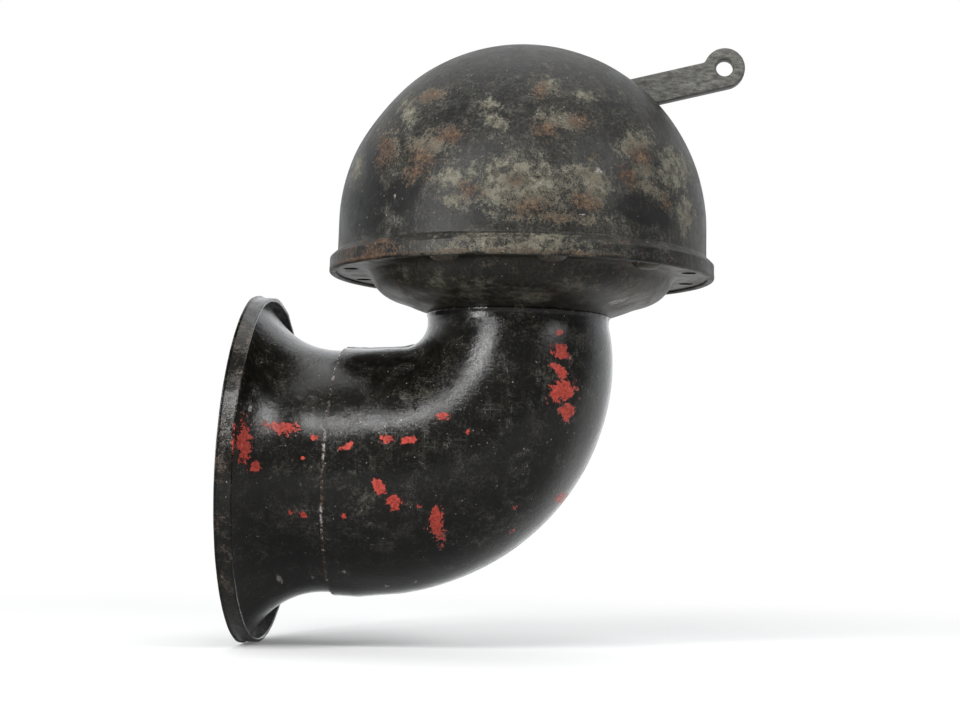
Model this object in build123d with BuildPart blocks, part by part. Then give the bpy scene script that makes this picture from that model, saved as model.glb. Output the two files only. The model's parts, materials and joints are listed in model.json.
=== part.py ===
"""Lever-operated mechanical signal horn with a dome housing, an elbow and a flared bell.

Frame: +Z up the axis of the dome, bell mouth towards -X, lever towards +X, millimetres.
Origin: centre of the lower face of the flange, on the dome's axis.
All shafts of the mechanism lie along Y. Pulling the lever down turns it about +Y.
"""

import os
from math import acos, cos, hypot, pi, radians, sin, tan

from build123d import *

os.makedirs("parts", exist_ok=True)

# Sheet metal housing
SHEET = 1.2
DOME_R = 78.9
DOME_CENTRE_Z = 20.3
SKIRT_R = 82.5
SKIRT_TOP_Z = 5.2
DOME_FOOT_Z = 8.2
CRIMP_LIP_R = 79.6
SLOT_WIDTH = 8.0
SLOT_LOW_DEG = 21.0
SLOT_HIGH_DEG = 58.0

# Clamped stack inside the skirt, from the flange upwards
PAN_SHEET = 1.6
STACK_R = 80.9
FLANGE_FLAT_R = 66.5
GASKET = 0.8
DIAPHRAGM = 0.6
RING_THICKNESS = 2.7
RING_INNER_R = 54.0
RING_OUTER_R = 79.0
BOLT_CIRCLE_R = 73.5
SCREW_ANGLES = (43, 77, 111, 249, 283, 317)
OPEN_ANGLES = (15, 165, 195, 345)
OPEN_HOLE_R = 3.2
SCREW_R = 2.5
HEAD_R = 6.0
HEAD_HEIGHT = 2.6
HEAD_ROUNDING = 2.2

# Pan, elbow and bell
PAN_RIM = ((63.9, -4.6), (60.6, -8.0), (54.0, -11.6))
PAN_THROAT_Z = -17.0
TUBE_X = -1.0
TUBE_R = 38.7
ELBOW_TOP_Z = -14.6
BEND_INNER_R = 10.4
BEND_X = TUBE_X - TUBE_R - BEND_INNER_R
BEND_Z = -21.4
BEND_GROWTH = 13.8
BEND_SPANS = 5
COLLAR_X = -66.0
COLLAR_Z = -85.5
COLLAR_R = 53.0
COLLAR_LENGTH = 9.5
BELL_TILT_DEG = 1.2
NECK_START = 2.0
NECK_END = 12.0
FLARE_R = 38.2
MOUTH = 47.4
LIP_R = 74.6
LIP_THICKNESS = 1.6
LIP_BACK = 40.9

# Gear train
PRESSURE_DEG = 25.0
BACKLASH = 0.1
ADDENDUM = 0.8
DEDENDUM = 1.0
SECTOR_MODULE = 1.25
SECTOR_TEETH = 64
SECTOR_CUT_TEETH = 9
DRIVE_TEETH = 12
TRAIN_MODULE = 1.0
MAIN_TEETH = 38
ROTOR_TEETH = 10
LEVER_TRAVEL_DEG = 30.0

# Shaft places (x, z), worked out from the rotor upwards through the train
ROTOR_AT = (0.0, 24.0)
MAIN_DIRECTION_DEG = 125.0
LEVER_DIRECTION_DEG = 39.45
MAIN_DISTANCE = TRAIN_MODULE * (MAIN_TEETH + ROTOR_TEETH) / 2
SECTOR_DISTANCE = SECTOR_MODULE * (SECTOR_TEETH + DRIVE_TEETH) / 2
COUNTER_AT = (
    ROTOR_AT[0] + MAIN_DISTANCE * cos(radians(MAIN_DIRECTION_DEG)),
    ROTOR_AT[1] + MAIN_DISTANCE * sin(radians(MAIN_DIRECTION_DEG)),
)
LEVER_AT = (
    COUNTER_AT[0] + SECTOR_DISTANCE * cos(radians(LEVER_DIRECTION_DEG)),
    COUNTER_AT[1] + SECTOR_DISTANCE * sin(radians(LEVER_DIRECTION_DEG)),
)

# Lever
LEVER_REST_DEG = 13.3
LEVER_THICKNESS = 6.0
ARM_WIDTH = 13.0
EYE_REACH = 64.8
EYE_R = 8.7
EYE_HOLE_R = 3.6
HUB_R = 11.0
RIVET_CIRCLE_R = 7.6
RIVET_R = 1.5

# Shafts, bushes and frame
LEVER_SHAFT_R = 4.0
SHAFT_R = 3.0
RUNNING_CLEARANCE = 0.05
SHAFT_HALF = 20.0
PLATE_INNER_Y = 15.0
PLATE_THICKNESS = 2.0
BUSH_WALL = 1.6
BUSH_FLANGE = 1.0
PLATE_FOOT_Z = PAN_SHEET + 2 * GASKET + DIAPHRAGM + RING_THICKNESS
FOOT_X = (55.0, 65.0)
FOOT_WIDTH = 12.0
FOOT_SCREW_AT = (60.0, 22.0)
ARCH_Z = 12.5
PILLAR_R = 4.0
PILLARS_AT = ((40.0, 20.0), (-40.0, 20.0))
STOP_REACH = 25.0
STOP_GAP_DEG = 10.2

# Return spring
WIRE_R = 0.8
COIL_R = 6.4
COIL_TURNS = 5.0
COIL_FRONT_Y = -13.0
COIL_REAR_Y = -4.8
ARM_LEG = 16.0
FRAME_LEG = 9.5
HOOK_REACH = 3.1
HOOK_HOLE_R = 1.0
LEG_GAP = 0.05

# Rotor, anvil and ratchet
ROTOR_R = 14.6
ROTOR_LOBES = 10
ROTOR_THICKNESS = 5.0
STRIKE_GAP = 0.3
ANVIL_R = 5.0
ANVIL_SHOULDER_R = 8.0
ANVIL_STUD_R = 3.0
RATCHET_TEETH = 12
RATCHET_TIP_R = 9.0
RATCHET_ROOT_R = 7.2
PAWL_PIVOT_R = 13.5
PAWL_PIVOT_DEG = 110.0
PAWL_FACE_DEG = 60.0
PAWL_GAP = 0.4

GASKET_LOW_Z = PAN_SHEET
DIAPHRAGM_Z = GASKET_LOW_Z + GASKET
GASKET_HIGH_Z = DIAPHRAGM_Z + DIAPHRAGM
RING_Z = GASKET_HIGH_Z + GASKET


spring_z = LEVER_AT[1] + COIL_R


def layer(high_y):
    """The plane parallel to XZ at y = high_y; an extrusion from it runs towards -Y."""
    return Plane.XZ.offset(-high_y)


def polar(centre, reach, angle):
    """The (x, z) point at that reach and angle from a centre."""
    return (centre[0] + reach * cos(radians(angle)), centre[1] + reach * sin(radians(angle)))


def keep(builder, name):
    """Labels a finished piece and writes its file."""
    builder.part.label = name
    export_step(builder.part, f"parts/{name}.step")
    print(f"{name}: {len(builder.part.solids())} solid(s), {builder.part.volume:.0f} mm3")


def ring_part(name, inner, outer, low_z, height):
    """A flat ring of the clamped stack, with every bolt hole through it."""
    with BuildPart() as ring:
        with BuildSketch(Plane.XY.offset(low_z)):
            Circle(outer)
            Circle(inner, mode=Mode.SUBTRACT)
            for angle in OPEN_ANGLES:
                with Locations(polar((0, 0), BOLT_CIRCLE_R, angle)):
                    Circle(OPEN_HOLE_R, mode=Mode.SUBTRACT)
            for angle in SCREW_ANGLES:
                with Locations(polar((0, 0), BOLT_CIRCLE_R, angle)):
                    Circle(SCREW_R, mode=Mode.SUBTRACT)
        extrude(amount=height)
        if name == "mount_ring":
            chamfer(ring.edges().group_by(Axis.Z)[-1].sort_by(SortBy.LENGTH)[-1], 0.5)
            for side_x in (-1, 1):
                for side_y in (-1, 1):
                    with Locations((side_x * FOOT_SCREW_AT[0], side_y * FOOT_SCREW_AT[1], low_z + height)):
                        Hole(2.0, depth=height)
    keep(ring, name)


def involute(angle):
    """The involute function of an angle in radians."""
    return tan(angle) - angle


def tooth_half_angle(teeth, module, radius):
    """Half the angle that a tooth spans at a radius, in radians."""
    pitch_r = module * teeth / 2
    base_r = pitch_r * cos(radians(PRESSURE_DEG))
    half = pi / (2 * teeth) - BACKLASH / (2 * pitch_r) + involute(radians(PRESSURE_DEG))
    return half - involute(acos(min(1.0, base_r / radius)))


def gear_tooth(teeth, module):
    """One stub involute tooth about local +X, as a private face that reaches below the root."""
    pitch_r = module * teeth / 2
    base_r = pitch_r * cos(radians(PRESSURE_DEG))
    tip_r = pitch_r + ADDENDUM * module
    root_r = pitch_r - DEDENDUM * module
    start_r = max(base_r, root_r - 0.1)
    radii = [start_r + (tip_r - start_r) * step / 4 for step in range(5)]
    upper = [(r, tooth_half_angle(teeth, module, r)) for r in radii]
    flank = [(r * cos(a), r * sin(a)) for r, a in upper]
    other = [(x, -y) for x, y in reversed(flank)]
    foot_r = root_r - 0.5
    foot = foot_r * sin(upper[0][1])
    foot_x = foot_r * cos(upper[0][1])
    with BuildSketch(Plane.XY, mode=Mode.PRIVATE) as tooth:
        with BuildLine():
            Spline(*flank)
            ThreePointArc(flank[-1], (tip_r, 0), other[0])
            Spline(*other)
            Polyline(other[-1], (foot_x, -foot), (foot_x, foot), flank[0])
        make_face()
    return tooth.sketch


def gear(name, centre, teeth, module, phase, high_y, width, bore, holes=()):
    """A full spur gear with a bore and holes."""
    root_r = module * teeth / 2 - DEDENDUM * module
    tooth = gear_tooth(teeth, module)
    plane = Plane(origin=(centre[0], high_y, centre[1]), x_dir=(1, 0, 0), z_dir=(0, -1, 0))
    with BuildPart() as wheel:
        with BuildSketch(plane):
            Circle(root_r)
            with PolarLocations(0, teeth, start_angle=phase):
                add(tooth)
        extrude(amount=width)
        with BuildSketch(plane):
            Circle(bore)
        extrude(amount=width, mode=Mode.SUBTRACT)
        for reach, angle, radius in holes:
            with BuildSketch(plane):
                with Locations(polar((0, 0), reach, angle)):
                    Circle(radius)
            extrude(amount=width, mode=Mode.SUBTRACT)
    keep(wheel, name)


def collar(name, centre, inner, outer, high_y, width):
    """A plain round collar or spacer along Y."""
    with BuildPart() as ring:
        with BuildSketch(layer(high_y)):
            with Locations(centre):
                Circle(outer)
                Circle(inner, mode=Mode.SUBTRACT)
        extrude(amount=width)
    keep(ring, name)


def bush(name, centre, shaft_r, side):
    """A flanged bearing bush in one frame plate, with its flange on the inner side."""
    bore = shaft_r + RUNNING_CLEARANCE
    with BuildPart() as bearing:
        with BuildSketch(layer(side * (PLATE_INNER_Y - BUSH_FLANGE))):
            with Locations(centre):
                Circle(shaft_r + BUSH_WALL + 1.4)
        extrude(amount=-side * BUSH_FLANGE)
        with BuildSketch(layer(side * PLATE_INNER_Y)):
            with Locations(centre):
                Circle(shaft_r + BUSH_WALL)
        extrude(amount=-side * PLATE_THICKNESS)
        with BuildSketch(layer(side * (PLATE_INNER_Y - BUSH_FLANGE))):
            with Locations(centre):
                Circle(bore)
        extrude(amount=-side * (BUSH_FLANGE + PLATE_THICKNESS), mode=Mode.SUBTRACT)
    keep(bearing, name)


def shaft(name, centre, radius):
    """A shaft between the frame plates, with a groove for a clip near each end."""
    with BuildPart() as rod:
        with BuildSketch(layer(SHAFT_HALF)):
            with Locations(centre):
                Circle(radius)
        extrude(amount=2 * SHAFT_HALF)
        chamfer(rod.edges().group_by(Axis.Y)[0], 0.4)
        chamfer(rod.edges().group_by(Axis.Y)[-1], 0.4)
        for high_y in (PLATE_INNER_Y + PLATE_THICKNESS + 1.1, -(PLATE_INNER_Y + PLATE_THICKNESS + 0.3)):
            with BuildSketch(layer(high_y)):
                with Locations(centre):
                    Circle(radius + 1)
                    Circle(radius - 0.6, mode=Mode.SUBTRACT)
            extrude(amount=0.8, mode=Mode.SUBTRACT)
    keep(rod, name)


def clips(name, centre, radius):
    """The pair of open retaining clips in a shaft's two grooves."""
    with BuildPart() as pair:
        for high_y in (PLATE_INNER_Y + PLATE_THICKNESS + 1.1, -(PLATE_INNER_Y + PLATE_THICKNESS + 0.3)):
            with BuildSketch(layer(high_y)):
                with Locations(centre):
                    Circle(radius + 1.8)
                    Circle(radius - 0.6, mode=Mode.SUBTRACT)
                with Locations((centre[0], centre[1] - radius - 1)):
                    Rectangle(2.4, radius + 2, mode=Mode.SUBTRACT)
            extrude(amount=0.8)
    keep(pair, name)


# Dome cover: hemisphere, skirt and the crimp that holds the stack, with the lever's slot
slope = (SKIRT_R - DOME_R) / (DOME_FOOT_Z - SKIRT_TOP_Z)
slope_length = hypot(SKIRT_R - DOME_R, DOME_FOOT_Z - SKIRT_TOP_Z)
bevel_x = SHEET * (DOME_FOOT_Z - SKIRT_TOP_Z) / slope_length
bevel_z = SHEET * (SKIRT_R - DOME_R) / slope_length
inner_skirt_top = SKIRT_TOP_Z - bevel_z + (SHEET - bevel_x) / slope
inner_dome_foot = DOME_FOOT_Z - bevel_z + (SHEET - bevel_x) / slope
dome_top = DOME_CENTRE_Z + DOME_R
with BuildPart() as dome_cover:
    with BuildSketch(Plane.XZ) as profile:
        with BuildLine():
            Polyline(
                (CRIMP_LIP_R, 0),
                (CRIMP_LIP_R, -SHEET),
                (SKIRT_R, -SHEET),
                (SKIRT_R, SKIRT_TOP_Z),
                (DOME_R, DOME_FOOT_Z),
                (DOME_R, DOME_CENTRE_Z),
            )
            CenterArc((0, DOME_CENTRE_Z), DOME_R, 0, 90)
            Line((0, dome_top), (0, dome_top - SHEET))
            CenterArc((0, DOME_CENTRE_Z), DOME_R - SHEET, 0, 90)
            Polyline(
                (DOME_R - SHEET, DOME_CENTRE_Z),
                (DOME_R - SHEET, inner_dome_foot),
                (SKIRT_R - SHEET, inner_skirt_top),
                (SKIRT_R - SHEET, 0),
                (CRIMP_LIP_R, 0),
            )
        make_face()
        corners = profile.vertices()
        fillet(corners.sort_by_distance((SKIRT_R, -SHEET))[0], 1.1)
        fillet(profile.vertices().sort_by_distance((SKIRT_R, SKIRT_TOP_Z))[0], 1.4)
        fillet(profile.vertices().sort_by_distance((DOME_R, DOME_FOOT_Z))[0], 1.6)
    revolve(axis=Axis.Z)
    with BuildSketch(layer(SLOT_WIDTH / 2)):
        with BuildLine():
            low_in = polar((0, DOME_CENTRE_Z), DOME_R - 8, SLOT_LOW_DEG)
            low_out = polar((0, DOME_CENTRE_Z), DOME_R + 8, SLOT_LOW_DEG)
            mid_out = polar((0, DOME_CENTRE_Z), DOME_R + 12, (SLOT_LOW_DEG + SLOT_HIGH_DEG) / 2)
            high_out = polar((0, DOME_CENTRE_Z), DOME_R + 8, SLOT_HIGH_DEG)
            high_in = polar((0, DOME_CENTRE_Z), DOME_R - 8, SLOT_HIGH_DEG)
            Polyline(low_in, low_out, mid_out, high_out, high_in, low_in)
        make_face()
    extrude(amount=SLOT_WIDTH, mode=Mode.SUBTRACT)
keep(dome_cover, "dome_cover")

# Base pan: flange ring and dished throat that the elbow is let into
with BuildPart() as base_pan:
    with BuildSketch(Plane.XZ):
        with BuildLine():
            rim = [(x, z + PAN_SHEET * 0.75) for x, z in PAN_RIM]
            throat_r = TUBE_R - 2
            lower = [(STACK_R, 0), (FLANGE_FLAT_R, 0), *PAN_RIM, (throat_r, PAN_THROAT_Z)]
            upper = [(throat_r, PAN_THROAT_Z + PAN_SHEET)]
            upper += [(x - PAN_SHEET * 0.55, z) for x, z in reversed(rim)]
            upper += [(FLANGE_FLAT_R - 1.2, PAN_SHEET), (STACK_R, PAN_SHEET)]
            Polyline(*lower, *upper, lower[0])
        make_face()
    revolve(axis=Axis.Z)
    for angle in OPEN_ANGLES + SCREW_ANGLES:
        x, y = polar((0, 0), BOLT_CIRCLE_R, angle)
        with Locations((x, y, PAN_SHEET)):
            Hole(OPEN_HOLE_R if angle in OPEN_ANGLES else SCREW_R, depth=PAN_SHEET)
    with Locations((TUBE_X, 0)):
        Hole(TUBE_R)
keep(base_pan, "base_pan")

# Clamped stack: lower gasket, diaphragm, upper gasket and the ring that carries the frame
ring_part("gasket_lower", FLANGE_FLAT_R, STACK_R, GASKET_LOW_Z, GASKET)
ring_part("diaphragm", ANVIL_STUD_R, STACK_R, DIAPHRAGM_Z, DIAPHRAGM)
ring_part("gasket_upper", FLANGE_FLAT_R, STACK_R, GASKET_HIGH_Z, GASKET)
ring_part("mount_ring", RING_INNER_R, RING_OUTER_R, RING_Z, RING_THICKNESS)

# Screws with low domed heads under the flange
with BuildPart() as flange_screws:
    with BuildSketch(Plane.XY):
        for angle in SCREW_ANGLES:
            with Locations(polar((0, 0), BOLT_CIRCLE_R, angle)):
                Circle(SCREW_R)
    extrude(amount=RING_Z + RING_THICKNESS)
    with BuildSketch(Plane.XY):
        for angle in SCREW_ANGLES:
            with Locations(polar((0, 0), BOLT_CIRCLE_R, angle)):
                Circle(HEAD_R)
    extrude(amount=-HEAD_HEIGHT)
    fillet(flange_screws.edges().group_by(Axis.Z)[0], HEAD_ROUNDING)
keep(flange_screws, "flange_screws")


# Elbow: a round tube that widens round its bend, with a lapped collar for the bell
def bend_radius(angle):
    """The radius of the bend's section at an angle from the vertical tube."""
    return TUBE_R + BEND_GROWTH * angle / 90


def bend_plane(angle):
    """The plane of the bend's section at an angle from the vertical tube."""
    reach = BEND_INNER_R + bend_radius(angle)
    turn = radians(angle)
    centre = (BEND_X + reach * cos(turn), 0, BEND_Z - reach * sin(turn))
    return Plane(origin=centre, x_dir=(0, 1, 0), z_dir=(-sin(turn), 0, -cos(turn)))


tilt = radians(BELL_TILT_DEG)
bell_axis = Axis((COLLAR_X, 0, COLLAR_Z), (-cos(tilt), 0, sin(tilt)))
collar_plane = Plane(origin=bell_axis.position, x_dir=(0, 1, 0), z_dir=bell_axis.direction)
bend_angles = [90 * span / BEND_SPANS for span in range(BEND_SPANS + 1)]
with BuildPart() as elbow:
    for inset, mode in ((0, Mode.ADD), (SHEET, Mode.SUBTRACT)):
        for angle in bend_angles:
            with BuildSketch(bend_plane(angle)):
                Circle(bend_radius(angle) - inset)
        with BuildSketch(collar_plane):
            Circle(COLLAR_R - inset)
        loft(mode=mode)
    with BuildSketch(Plane.XY.offset(BEND_Z)):
        with Locations((TUBE_X, 0)):
            Circle(TUBE_R)
            Circle(TUBE_R - SHEET, mode=Mode.SUBTRACT)
    extrude(amount=ELBOW_TOP_Z - BEND_Z)
    with BuildSketch(collar_plane):
        Circle(COLLAR_R)
        Circle(COLLAR_R - SHEET, mode=Mode.SUBTRACT)
    extrude(amount=COLLAR_LENGTH)
keep(elbow, "elbow")

# Bell: a neck inside the collar, a round flare and a turned-back lip
neck_r = COLLAR_R - SHEET
flare_centre = (NECK_END, neck_r + FLARE_R)
inner_flare_r = FLARE_R + SHEET
mouth_inner = flare_centre[1] - (inner_flare_r**2 - (MOUTH - NECK_END) ** 2) ** 0.5
lip_inner = LIP_R - LIP_THICKNESS
lip_root = NECK_END + (FLARE_R**2 - (flare_centre[1] - lip_inner) ** 2) ** 0.5


def flare_point(radius, along):
    """The (along, radius) point of a flare arc at that distance along the bell's axis."""
    return (along, flare_centre[1] - (radius**2 - (along - NECK_END) ** 2) ** 0.5)


with BuildPart() as bell:
    with BuildSketch(Plane(origin=bell_axis.position, x_dir=bell_axis.direction, z_dir=(0, -1, 0))) as section:
        with BuildLine():
            Line((NECK_START, neck_r - SHEET), (NECK_END, neck_r - SHEET))
            ThreePointArc(
                (NECK_END, neck_r - SHEET),
                flare_point(inner_flare_r, (NECK_END + MOUTH) / 2),
                (MOUTH, mouth_inner),
            )
            Polyline((MOUTH, mouth_inner), (MOUTH, LIP_R), (LIP_BACK, LIP_R), (LIP_BACK, lip_inner))
            Line((LIP_BACK, lip_inner), (lip_root, lip_inner))
            ThreePointArc(
                (lip_root, lip_inner),
                flare_point(FLARE_R, (NECK_END + lip_root) / 2),
                (NECK_END, neck_r),
            )
            Polyline((NECK_END, neck_r), (NECK_START, neck_r), (NECK_START, neck_r - SHEET))
        make_face()
        fillet(section.vertices().sort_by_distance((MOUTH, LIP_R))[0], 1.0)
    revolve(axis=bell_axis)
keep(bell, "bell")

# Anvil on the diaphragm: the button that the rotor strikes, its washer and its nut
anvil_top = ROTOR_AT[1] - ROTOR_R - STRIKE_GAP
with BuildPart() as anvil_button:
    with BuildSketch(Plane.XY.offset(GASKET_HIGH_Z)):
        Circle(ANVIL_SHOULDER_R)
    extrude(amount=1.4)
    with BuildSketch(Plane.XY.offset(GASKET_HIGH_Z)):
        Circle(ANVIL_R)
    extrude(amount=anvil_top - GASKET_HIGH_Z)
    with BuildSketch(Plane.XY.offset(GASKET_HIGH_Z)):
        Circle(ANVIL_STUD_R)
    extrude(amount=-(GASKET_HIGH_Z + 4.0))
    chamfer(anvil_button.edges().group_by(Axis.Z)[-1], 0.5)
keep(anvil_button, "anvil_button")

with BuildPart() as anvil_washer:
    with BuildSketch(Plane.XY.offset(DIAPHRAGM_Z)):
        Circle(ANVIL_SHOULDER_R + 1)
        Circle(ANVIL_STUD_R, mode=Mode.SUBTRACT)
    extrude(amount=-1.0)
keep(anvil_washer, "anvil_washer")

with BuildPart() as anvil_nut:
    with BuildSketch(Plane.XY.offset(DIAPHRAGM_Z - 1.0)):
        RegularPolygon(5.0, 6, major_radius=False)
        Circle(ANVIL_STUD_R, mode=Mode.SUBTRACT)
    extrude(amount=-4.0)
keep(anvil_nut, "anvil_nut")

# Frame: two plates with bent-out feet, screwed to the ring and held apart by pillars
rest_stop_at = polar(LEVER_AT, STOP_REACH, 180 + LEVER_DIRECTION_DEG + 38.0 + STOP_GAP_DEG)
travel_stop_deg = 180 + LEVER_DIRECTION_DEG - 8.0 - LEVER_TRAVEL_DEG - STOP_GAP_DEG
travel_stop_at = polar(LEVER_AT, STOP_REACH, travel_stop_deg)
shaft_holes = ((LEVER_AT, LEVER_SHAFT_R), (COUNTER_AT, SHAFT_R), (ROTOR_AT, SHAFT_R))
pillar_places = (*PILLARS_AT, rest_stop_at, travel_stop_at)
plate_outline = (
    (FOOT_X[1], PLATE_FOOT_Z),
    (FOOT_X[1], 16.0),
    (37.0, 79.0),
    (14.0, 86.0),
    (-9.0, 85.0),
    (-32.0, 60.0),
    (-FOOT_X[1], 16.0),
    (-FOOT_X[1], PLATE_FOOT_Z),
    (-FOOT_X[0] + 3, PLATE_FOOT_Z),
    (-FOOT_X[0] + 10, ARCH_Z),
    (FOOT_X[0] - 10, ARCH_Z),
    (FOOT_X[0] - 3, PLATE_FOOT_Z),
)


def frame_plate(name, side):
    """One side plate of the frame; side is 1 for +Y and -1 for -Y."""
    with BuildPart() as plate:
        with BuildSketch(layer(side * PLATE_INNER_Y)) as face:
            with BuildLine():
                Polyline(*plate_outline, plate_outline[0])
            make_face()
            fillet(face.vertices().filter_by(lambda corner: corner.Y > ARCH_Z), 6.0)
            for centre, radius in shaft_holes:
                with Locations(centre):
                    Circle(radius + BUSH_WALL, mode=Mode.SUBTRACT)
            for centre in pillar_places:
                with Locations(centre):
                    Circle(2.0, mode=Mode.SUBTRACT)
            with Locations((LEVER_AT[0] - FRAME_LEG, spring_z)):
                Circle(HOOK_HOLE_R, mode=Mode.SUBTRACT)
        extrude(amount=-side * PLATE_THICKNESS)
        for end in (-1, 1):
            middle = (end * sum(FOOT_X) / 2, side * (PLATE_INNER_Y + FOOT_WIDTH / 2), PLATE_FOOT_Z)
            with BuildSketch(Plane.XY.offset(PLATE_FOOT_Z)):
                with Locations(middle[:2]):
                    Rectangle(FOOT_X[1] - FOOT_X[0], FOOT_WIDTH)
                with Locations((end * FOOT_SCREW_AT[0], side * FOOT_SCREW_AT[1])):
                    Circle(2.0, mode=Mode.SUBTRACT)
            extrude(amount=PLATE_THICKNESS)
    keep(plate, name)


frame_plate("frame_plate_front", -1)
frame_plate("frame_plate_rear", 1)

with BuildPart() as frame_screws:
    foot_top = PLATE_FOOT_Z + PLATE_THICKNESS
    places = [(x * FOOT_SCREW_AT[0], y * FOOT_SCREW_AT[1]) for x in (-1, 1) for y in (-1, 1)]
    with BuildSketch(Plane.XY.offset(RING_Z + 0.2)):
        with Locations(*places):
            Circle(2.0)
    extrude(amount=foot_top - RING_Z - 0.2)
    with BuildSketch(Plane.XY.offset(foot_top)):
        with Locations(*places):
            Circle(3.5)
    extrude(amount=2.2)
    for x, y in places:
        with Locations((x, y, foot_top + 2.2)):
            Box(7.2, 0.9, 1.6, mode=Mode.SUBTRACT)
keep(frame_screws, "frame_screws")


def pillar(name, places):
    """Round pillars between the two plates, tapped at both ends."""
    with BuildPart() as posts:
        with BuildSketch(layer(PLATE_INNER_Y)):
            with Locations(*places):
                Circle(PILLAR_R)
        extrude(amount=2 * PLATE_INNER_Y)
        for start, direction in ((PLATE_INNER_Y, 1), (-PLATE_INNER_Y, -1)):
            with BuildSketch(layer(start)):
                with Locations(*places):
                    Circle(2.0)
            extrude(amount=direction * 7.0, mode=Mode.SUBTRACT)
    keep(posts, name)


pillar("frame_pillars", PILLARS_AT)
pillar("lever_rest_stop", (rest_stop_at,))
pillar("lever_travel_stop", (travel_stop_at,))

with BuildPart() as pillar_screws:
    outer_y = PLATE_INNER_Y + PLATE_THICKNESS
    for side in (-1, 1):
        with BuildSketch(layer(side * outer_y)):
            with Locations(*pillar_places):
                Circle(2.0)
        extrude(amount=side * 8.0)
        with BuildSketch(layer(side * outer_y)):
            with Locations(*pillar_places):
                Circle(3.4)
        extrude(amount=-side * 2.2)
        with BuildSketch(layer(side * (outer_y + 2.2))):
            with Locations(*pillar_places):
                Rectangle(7.2, 0.9)
        extrude(amount=side * 0.8, mode=Mode.SUBTRACT)
keep(pillar_screws, "pillar_screws")

for bush_name, bush_at, bush_shaft in (
    ("lever_bush", LEVER_AT, LEVER_SHAFT_R),
    ("countershaft_bush", COUNTER_AT, SHAFT_R),
    ("rotor_bush", ROTOR_AT, SHAFT_R),
):
    bush(f"{bush_name}_front", bush_at, bush_shaft, -1)
    bush(f"{bush_name}_rear", bush_at, bush_shaft, 1)

# Lever body: forged arm with an eye, shaft, sector gear, rivets and clips
lever_plane = Plane(
    origin=(LEVER_AT[0], LEVER_THICKNESS / 2, LEVER_AT[1]),
    x_dir=(cos(radians(LEVER_REST_DEG)), 0, sin(radians(LEVER_REST_DEG))),
    z_dir=(0, -1, 0),
)
eye_at = (EYE_REACH, EYE_R - ARM_WIDTH / 2)
rivet_angles = (70, 190, 310)
with BuildPart() as lever_arm:
    with BuildSketch(lever_plane) as blank:
        Circle(HUB_R)
        with Locations((EYE_REACH / 2, 0)):
            Rectangle(EYE_REACH, ARM_WIDTH)
        with Locations(eye_at):
            Circle(EYE_R)
        inner_corner = (EYE_REACH - (EYE_R**2 - (ARM_WIDTH / 2 - eye_at[1]) ** 2) ** 0.5, ARM_WIDTH / 2)
        fillet(blank.vertices().sort_by_distance(inner_corner)[0], 3.0)
    extrude(amount=LEVER_THICKNESS)
    with BuildSketch(lever_plane):
        Circle(LEVER_SHAFT_R)
        with Locations(eye_at):
            Circle(EYE_HOLE_R)
        for angle in rivet_angles:
            with Locations(polar((0, 0), RIVET_CIRCLE_R, angle)):
                Circle(RIVET_R)
    extrude(amount=LEVER_THICKNESS, mode=Mode.SUBTRACT)
    with BuildSketch(layer(LEVER_THICKNESS / 2)):
        with Locations((LEVER_AT[0] + ARM_LEG, spring_z)):
            Circle(HOOK_HOLE_R)
    extrude(amount=LEVER_THICKNESS, mode=Mode.SUBTRACT)
keep(lever_arm, "lever_arm")

shaft("lever_shaft", LEVER_AT, LEVER_SHAFT_R)
clips("lever_clips", LEVER_AT, LEVER_SHAFT_R)

sector_high_y = LEVER_THICKNESS / 2 + 4.0
sector_plane = Plane(
    origin=(LEVER_AT[0], sector_high_y, LEVER_AT[1]), x_dir=(1, 0, 0), z_dir=(0, -1, 0)
)
mesh_deg = 180 + LEVER_DIRECTION_DEG
sector_pitch_deg = 360 / SECTOR_TEETH
sector_root_r = SECTOR_MODULE * (SECTOR_TEETH / 2 - DEDENDUM)
first_edge_deg = mesh_deg - 8.0
last_edge_deg = mesh_deg + 38.0
with BuildPart() as sector_gear:
    with BuildSketch(sector_plane):
        with BuildLine():
            Polyline(
                polar((0, 0), sector_root_r, first_edge_deg),
                (0, 0),
                polar((0, 0), sector_root_r, last_edge_deg),
            )
            CenterArc((0, 0), sector_root_r, first_edge_deg, last_edge_deg - first_edge_deg)
        make_face()
        Circle(HUB_R)
        first_tooth_deg = mesh_deg - sector_pitch_deg
        span = (SECTOR_CUT_TEETH - 1) * sector_pitch_deg
        with PolarLocations(0, SECTOR_CUT_TEETH, first_tooth_deg, span, endpoint=True):
            add(gear_tooth(SECTOR_TEETH, SECTOR_MODULE))
        Circle(LEVER_SHAFT_R, mode=Mode.SUBTRACT)
        for angle in rivet_angles:
            with Locations(polar((0, 0), RIVET_CIRCLE_R, angle + LEVER_REST_DEG)):
                Circle(RIVET_R, mode=Mode.SUBTRACT)
        for angle in (mesh_deg + 5, mesh_deg + 25):
            with Locations(polar((0, 0), 27.0, angle)):
                Circle(3.6, mode=Mode.SUBTRACT)
    extrude(amount=4.0)
keep(sector_gear, "sector_gear")

with BuildPart() as sector_rivets:
    rivet_places = [polar(LEVER_AT, RIVET_CIRCLE_R, angle + LEVER_REST_DEG) for angle in rivet_angles]
    rivet_low_y = -LEVER_THICKNESS / 2
    with BuildSketch(layer(sector_high_y + 0.8)):
        with Locations(*rivet_places):
            Circle(RIVET_R)
    extrude(amount=sector_high_y + 1.6 - rivet_low_y)
    for high_y in (sector_high_y + 0.8, rivet_low_y):
        with BuildSketch(layer(high_y)):
            with Locations(*rivet_places):
                Circle(RIVET_R + 0.9)
        extrude(amount=0.8)
keep(sector_rivets, "sector_rivets")

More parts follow.
